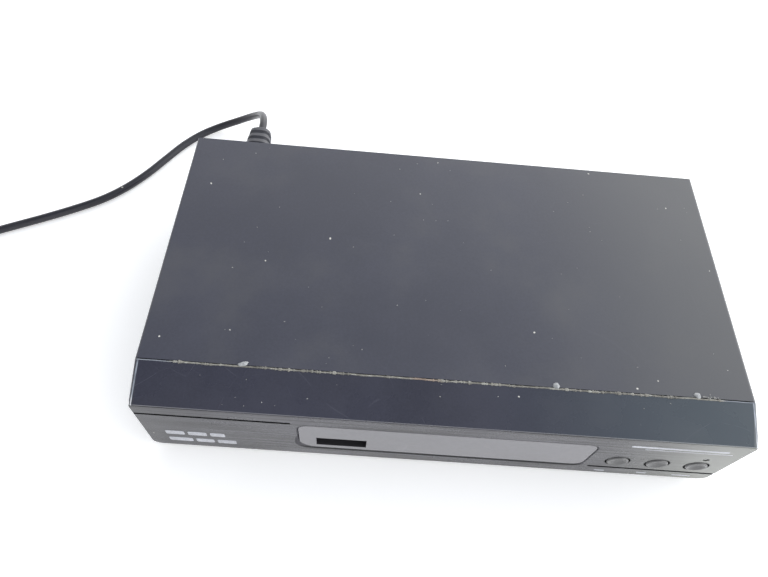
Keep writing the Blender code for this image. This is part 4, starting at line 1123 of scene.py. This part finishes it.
@dataclass
class Fasteners:
    """Pan-head cover screws with a cross recess, and the rubber feet."""

    paint: Paint
    head_radius: float = 0.0027
    head_height: float = 0.0011
    shank_radius: float = 0.0015
    arm: float = 0.00150
    arm_half: float = 0.00034
    recess: float = 0.00075
    cross_turn: float = 0.5
    foot_edge: float = 0.0007
    # The ringed underside of a foot: (radius, height).
    foot_rings: tuple[tuple[float, float], ...] = (
        (0.0010, 0.0002), (0.0016, 0.0), (0.0024, 0.0002), (0.0032, 0.0))

    def screw(self, node: str) -> Skin:
        """Screw head: a flattened dome less a cross whose depth fades out along its arms.

        On a polar grid the head's height at radius r is its full height times
        (1 - 0.55 (r / R)^4), and the cross takes off up to the recess where the
        smaller of the two distances from the axes is under half an arm's width.

        Args:
            node: The CAD screw that it stands for.

        Returns:
            The skin, with the shank behind the head.
        """
        low, high, (_, y, z) = box_of(node)
        side = 1.0 if low[0] > 0 else -1.0
        outer_x, end_x = (high[0], low[0]) if side > 0 else (low[0], high[0])
        seat_x = outer_x - side * self.head_height
        r = np.linspace(0, 1, 22)[1:, None] * self.head_radius
        a = circle(96)
        u, v = abs(r * np.cos(a)), abs(r * np.sin(a))
        inside = np.clip((self.arm_half - np.minimum(u, v)) / 0.00012 + 0.5, 0, 1)
        cut = inside * np.clip((self.arm - np.maximum(u, v)) / 0.0006, 0, 1)
        height = self.head_height * (1 - 0.55 * (r / self.head_radius) ** 4) - self.recess * cut
        a = a + self.cross_turn
        face = np.stack([seat_x + side * height, y + r * np.cos(a), z + r * np.sin(a)], -1)
        behind = ((seat_x, self.head_radius), (seat_x, self.shank_radius), (end_x, self.shank_radius))
        rest = [np.stack([x + 0 * a, y + q * np.cos(a), z + q * np.sin(a)], -1) for x, q in behind]
        return grid_skin(np.concatenate([face, np.stack(rest)]))

    def foot(self, node: str) -> Skin:
        """Rubber foot: a turned pad with a round lower edge and a shallow ringed underside.

        Args:
            node: The CAD foot that it stands for.

        Returns:
            The skin.
        """
        low, high, mid = box_of(node)
        radius, ease = (high[0] - low[0]) / 2, self.foot_edge
        t = quarter(6)
        edge = np.stack([radius - ease + ease * np.sin(t), ease * (1 - np.cos(t))], 1)
        top = [[radius, high[2] - 0.0002], [radius - 0.0002, high[2]], [0.001, high[2]]]
        return turned_skin(np.vstack([self.foot_rings, edge, top]), mid * [1, 1, 0], (0, 0, 1), 40)

    def build(self) -> None:
        """Make the four screws and the four feet."""
        for number in range(1, 5):
            node = f"cover_screw_{number}"
            place(self.screw(node), f"{node}_head", self.paint[METAL],
                  stands_for=(node,))
        for row in ("front", "rear"):
            for side in ("left", "right"):
                node = f"foot_{row}_{side}"
                place(self.foot(node), f"{node}_pad", self.paint[RUBBER],
                      stands_for=(node,))


@dataclass
class StrainRelief:
    """Moulded strain relief: a round-cornered head against the rear wall and a ribbed tail."""

    paint: Paint
    x: float = -0.0672
    z: float = 0.0220
    wall: float = 0.0425
    neck_radius: float = 0.0038
    # Behind the wall: where the head starts, where it ends, and the tail's tip.
    stations: Triple = (0.0003, 0.0078, 0.0195)
    head_half: Pair = (0.0060, 0.0070)
    head_edge: float = 0.0014
    head_power: float = 5.0
    tail_half: float = 0.0048
    tail_taper: float = 0.0011
    tail_power: float = 2.9
    ribs: float = 3.5
    rib_depth: float = 0.00075
    tip_edge: float = 0.0006

    def build(self) -> bpy.types.Object:
        """Loft superellipses along Y, where the tail's size dips at each rib.

        A dip is the part of a raised cosine that stands above 0.45. Each row of the
        table is a ring: its Y, half width, half height and power.

        Returns:
            The piece.
        """
        near, far, tip = (self.wall + reach for reach in self.stations)
        wide, tall = self.head_half
        t, k = quarter(7), np.linspace(0, 1, 100)
        sunk, drawn_in = self.head_edge * (1 - np.sin(t)), self.head_edge * (1 - np.cos(t))
        neck = [[self.wall - 0.0050, self.neck_radius - 0.0004, self.neck_radius - 0.0004, 2.0],
                [self.wall - 0.0048, self.neck_radius, self.neck_radius, 2.0],
                [near - 0.0001, self.neck_radius, self.neck_radius, 2.0]]
        head_in = np.stack([near + drawn_in, wide - sunk, tall - sunk, 0 * t + self.head_power], 1)
        head_out = np.stack([far - sunk, wide - drawn_in, tall - drawn_in, 0 * t + self.head_power], 1)
        dip = self.rib_depth * np.clip(0.5 - 0.5 * np.cos(2 * np.pi * self.ribs * k) - 0.45, 0, 1) / 0.55
        size = self.tail_half - self.tail_taper * k - dip
        run = far + 0.00005 + (tip - far - self.tip_edge) * k
        tail = np.stack([run, size, size * 0.98, 0 * k + self.tail_power], 1)
        last = size[-1] - 0.0010 * (1 - np.cos(t))
        end = np.stack([tip - self.tip_edge * (1 - np.sin(t)), last, last, 0 * t + 2.8], 1)
        y, half_x, half_z, power = np.vstack([neck, head_in, head_out, tail, end[1:]]).T
        return place(lofted_skin(y, half_x, half_z, power, (self.x, self.z), 64), "strain_relief_boot",
                     self.paint[BOOT], stands_for=("strain_relief",), sharp=60)


@dataclass
class LeadFittings:
    """The coil's tie, the plug and its two sleeved pins."""

    paint: Paint
    tie_corner: float = 0.0022
    tie_thickness: float = 0.00055
    tie_crown: float = 0.00012
    plug_tail: float = 0.0055
    plug_edge: float = 0.0016
    plug_ends: float = 0.04
    plug_power: float = 4.2
    grip_depth: float = 0.0005
    sleeve_length: float = 0.0100
    sleeve_thickness: float = 0.00008
    tip_length: float = 0.0018

    def tie(self) -> Skin:
        """Flat band bent round the bundle: a closed round-cornered loop in Y and Z with a thin section.

        Returns:
            The skin.
        """
        low, high, mid = box_of("coil_tie")
        half, crown, corner = (high - low) / 2, self.tie_crown, self.tie_corner
        _, angle, sign_y, sign_z = corner_arcs(7)
        hub_y, hub_z = mid[1] + sign_y * (half[1] - corner), mid[2] + sign_z * (half[2] - corner)
        # Points of the band's section: place along X as a part of its half width, and depth.
        section = ((-1.0, 0.0), (-0.8, -crown), (0.8, -crown), (1.0, 0.0),
                   (1.0, self.tie_thickness), (-1.0, self.tie_thickness))
        rings = [np.stack([mid[0] + part * half[0] + 0 * angle,
                           hub_y + (corner - depth - crown) * np.cos(angle),
                           hub_z + (corner - depth - crown) * np.sin(angle)], 1) for part, depth in section]
        return grid_skin(np.stack(rings), ends=Ends.LOOP)

    def plug(self) -> Skin:
        """Slim plug body.

        Superellipses along Y: the half width eases from the tail's to the full
        width by a smooth step, both halves round off at each end by a quarter
        circle, and a short row of grip ribs dips the surface by a squared sine.

        Returns:
            The skin.
        """
        low, high, mid = box_of("plug_body")
        half = (high - low) / 2
        round_part = self.plug_ends
        k = np.concatenate([np.linspace(0, round_part, 8), np.linspace(round_part, 1 - round_part, 120)[1:],
                            np.linspace(1 - round_part, 1, 8)[1:]])
        grow = np.clip((k - 0.08) / 0.36, 0, 1)
        grow = grow ** 2 * (3 - 2 * grow)
        from_end = np.clip(round_part - np.minimum(k, 1 - k), 0, 1) / round_part
        cap = np.sqrt(np.clip(1 - from_end ** 2, 0, 1))
        drawn_in = self.plug_edge * (1 - cap)
        grip = self.grip_depth * np.sin(np.pi * (k - 0.52) / 0.06) ** 2 * ((k > 0.52) & (k < 0.82))
        wide = self.plug_tail + (half[0] - self.plug_tail) * grow - drawn_in - grip
        tall = half[2] * (0.74 + 0.26 * grow) - drawn_in
        y = high[1] - (high[1] - low[1]) * k
        return lofted_skin(y, wide, tall, self.plug_power, (mid[0], mid[2]), 72)

    def pin(self, word: str, sleeve: bool) -> Skin:
        """Turned pin with a round tip, or the insulating sleeve on its first stretch.

        Args:
            word: Which pin, left or right.
            sleeve: Whether the sleeve is wanted in place of the pin.

        Returns:
            The skin.
        """
        low, high, mid = box_of(f"plug_pin_{word}")
        length, radius = high[1] - low[1], (high[0] - low[0]) / 2
        if sleeve:
            reach, outer = self.sleeve_length, radius + self.sleeve_thickness
            profile = np.array([[radius * 0.8, 0.0001], [outer, 0.0001], [outer, reach - 0.0003],
                                [radius - 0.0001, reach], [radius * 0.5, reach]])
        else:
            t, slim = quarter(8)[:-1], radius * 0.97
            tip = np.stack([slim * np.cos(t), length - self.tip_length * (1 - np.sin(t))], 1)
            profile = np.vstack([[slim, 0], tip])
        return turned_skin(profile, np.array([mid[0], high[1], mid[2]]), (0, -1, 0), 32)

    def build(self) -> list[bpy.types.Object]:
        """Make the tie, the plug, the pins and the sleeves.

        Returns:
            The pieces.
        """
        made = [place(self.tie(), "coil_band", self.paint[CHIP],
                      stands_for=("coil_tie",)),
                place(self.plug(), "plug_moulding", self.paint[BOOT],
                      stands_for=("plug_body",), sharp=60)]
        for word in ("left", "right"):
            made.append(place(self.pin(word, False), f"plug_prong_{word}", self.paint[METAL],
                              stands_for=(f"plug_pin_{word}",)))
            made.append(place(self.pin(word, True), f"plug_sleeve_{word}", self.paint[CHIP]))
        return made


# ---------------------------------------------------------------- mains lead


@dataclass
class MainsLead:
    """The mains lead from the strain relief to the coil, the wound length and the plug."""

    paint: Paint
    diameter: float = 0.0028
    coil_centre: Pair = (-0.1737, -0.0109)
    radii: Pair = (0.0112, 0.0224)
    layers: Triple = (0.0025, 0.0053, 0.0081)
    joining_angle: float = 117.4
    flat_turns: int = 4
    last_turn: float = 330 / 360
    turn_steps: int = 48
    route: tuple[Point, ...] = (
        (-0.0672, 0.0624, 0.0220), (-0.0673, 0.0667, 0.0217), (-0.0680, 0.0712, 0.0203),
        (-0.0696, 0.0760, 0.0174), (-0.0724, 0.0803, 0.0132), (-0.0767, 0.0836, 0.0086),
        (-0.0824, 0.0848, 0.0047), (-0.0890, 0.0834, 0.0024), (-0.0958, 0.0790, 0.0016),
        (-0.1018, 0.0722, 0.0015), (-0.1070, 0.0640, 0.0015), (-0.1122, 0.0556, 0.0015),
        (-0.1182, 0.0478, 0.0015), (-0.1252, 0.0412, 0.0015), (-0.1334, 0.0358, 0.0015),
        (-0.1424, 0.0307, 0.0015), (-0.1518, 0.0258, 0.0015), (-0.1612, 0.0210, 0.0015),
        (-0.1690, 0.0169, 0.0019), (-0.1732, 0.0146, 0.0023))
    plug_route: tuple[Point, ...] = (
        (-0.1868, 0.0113, 0.0081), (-0.1910, 0.0112, 0.0080), (-0.1954, 0.0104, 0.0078),
        (-0.1998, 0.0087, 0.0075), (-0.2036, 0.0060, 0.0072), (-0.2065, 0.0024, 0.0069),
        (-0.2083, -0.0018, 0.0068), (-0.2090, -0.0064, 0.0068), (-0.2091, -0.0100, 0.0068))

    def winding(self) -> np.ndarray:
        """The coil's centreline.

        Angle grows steadily. The radius falls evenly over the first flat turns,
        holds for a climbing turn, grows evenly over the next flat turns and holds
        again. Height holds in the flat turns and follows a quarter ellipse in the
        climbing ones.

        Returns:
            Points from where the lead joins the coil to where it leaves it.
        """
        inner, outer = self.radii
        low, middle, high = self.layers
        turns = self.flat_turns
        flat = np.linspace(0, 1, turns * self.turn_steps, endpoint=False)
        climb = np.linspace(0, 1, self.turn_steps, endpoint=False)
        last = np.linspace(0, 1, self.turn_steps)
        turn = np.concatenate([flat * turns, turns + climb, turns + 1 + flat * turns,
                               2 * turns + 1 + last * self.last_turn])
        radius = np.concatenate([outer + (inner - outer) * flat, inner + 0 * climb,
                                 inner + (outer - inner) * flat, outer + 0 * last])
        ease, rise = (np.sqrt(1 - (1 - part) ** 2) for part in (climb, last))
        height = np.concatenate([low + 0 * flat, low + (middle - low) * ease,
                                 middle + 0 * flat, middle + (high - middle) * rise])
        angle = np.radians(self.joining_angle) + 2 * np.pi * turn
        x, y = self.coil_centre
        return np.stack([x + radius * np.cos(angle), y + radius * np.sin(angle), height], 1)

    def centreline(self) -> np.ndarray:
        """The whole lead, from the strain relief to the plug.

        Returns:
            Its points.
        """
        wound = self.winding()
        inward = smooth_path(np.vstack([self.route, wound[0]]), 6)
        outward = smooth_path(np.vstack([wound[-1], self.plug_route]), 6)
        return np.vstack([inward[:-1], wound[:-1], outward])

    def build(self, fitted: list[bpy.types.Object]) -> None:
        """Args:
            fitted: The pieces that are fitted to it; not used.
        """
        path = self.centreline()
        lead = place(swept_tube(path, self.diameter / 2), "mains_lead_run", self.paint[LEAD],
                     stands_for=("mains_lead", "lead_coil", "plug_lead"))


# ---------------------------------------------------------------- stage


@dataclass
class Stage:
    """Floor, lights and camera."""

    camera_place: Point = (-0.02605, -0.10874, 0.18855)
    right: Point = (0.99639, 0.04474, 0.07200)
    up: Point = (-0.07636, 0.84188, 0.53415)
    back: Point = (-0.03681, -0.53777, 0.84233)
    lens: float = 29.16
    zenith: float = 0.42
    horizon: float = 1.60
    sky_blue: Colour = (0.80, 0.88, 1.0)
    floor_half: float = 9.0
    floor_glow: float = 0.32

    def camera(self) -> None:
        """Camera whose axes are given outright: right, up and back."""
        data = bpy.data.cameras.new("camera")
        data.lens = self.lens
        data.sensor_width = 36.0
        data.clip_start = 0.01
        made = bpy.data.objects.new("camera", data)
        bpy.context.scene.collection.objects.link(made)
        turn = Matrix((self.right, self.up, self.back)).transposed().to_4x4()
        made.matrix_world = Matrix.Translation(self.camera_place) @ turn
        bpy.context.scene.camera = made

    def world(self) -> None:
        """Soft daylight: darker overhead, bright near the horizon and brightest to the back right."""
        world = bpy.data.worlds.new("daylight")
        bpy.context.scene.world = world
        world.use_nodes = True
        tree = Tree(world.node_tree)
        x, y, z = tree.split(tree.add("TexCoord").outputs["Generated"])
        side = tree.maths("MULTIPLY_ADD", x, 0.8, tree.maths("MULTIPLY", y, 0.35))
        height = tree.ramp(z, 0.55, 1.0, 1.0, 0.0)
        level = tree.maths("MULTIPLY_ADD", height, self.horizon - self.zenith, self.zenith)
        lit = tree.maths("MULTIPLY", level, tree.ramp(side, -0.45, 0.80, 0.50, 2.05))
        lit = tree.maths("MAXIMUM", lit, tree.ramp(z, 0.12, 0.22, 1.10, 0.0))
        sky = world.node_tree.nodes["Background"].inputs
        tree.link(tree.blend(height, self.sky_blue, (1.0, 1.0, 1.0)), sky["Color"])
        tree.link(lit, sky["Strength"])

    def floor(self) -> None:
        """Plain pale floor with a barely visible mottle."""
        mesh = bpy.data.meshes.new("floor")
        half = self.floor_half
        corners = [(-half, -half, 0), (half, -half, 0), (half, half, 0), (-half, half, 0)]
        mesh.from_pydata(corners, [], [(0, 1, 2, 3)])
        made = bpy.data.objects.new("floor", mesh)
        bpy.context.scene.collection.objects.link(made)
        look = bpy.data.materials.new("pale_floor")
        look.use_nodes = True
        tree = Tree(look.node_tree)
        mottle = tree.noise(tree.add("TexCoord").outputs["Object"], 12.0, 3.0)
        colour = tree.blend(mottle, (0.93, 0.93, 0.93), (0.96, 0.96, 0.96))
        sockets = look.node_tree.nodes["Principled BSDF"].inputs
        for name, value in (("Base Color", colour), ("Roughness", 0.9),
                            ("Emission Color", (1.0, 1.0, 1.0, 1.0)), ("Emission Strength", self.floor_glow)):
            tree.link(value, sockets[name])
        mesh.materials.append(look)

    def build(self) -> None:
        """Set the whole stage."""
        self.camera()
        self.world()
        self.floor()
        bpy.context.scene.view_settings.view_transform = "Standard"


def main() -> None:
    """Build every sub-assembly in order."""
    logging.basicConfig(level=logging.INFO, format="%(message)s", stream=sys.stdout)
    Stage().build()
    paint = Paint()
    paint.dress_frame()
    SeamResidue(paint).build()
    Front(paint).build()
    Fasteners(paint).build()
    boot = StrainRelief(paint).build()
    fitted = LeadFittings(paint).build()
    MainsLead(paint).build([boot, *fitted])


if __name__ == "__main__":
    main()
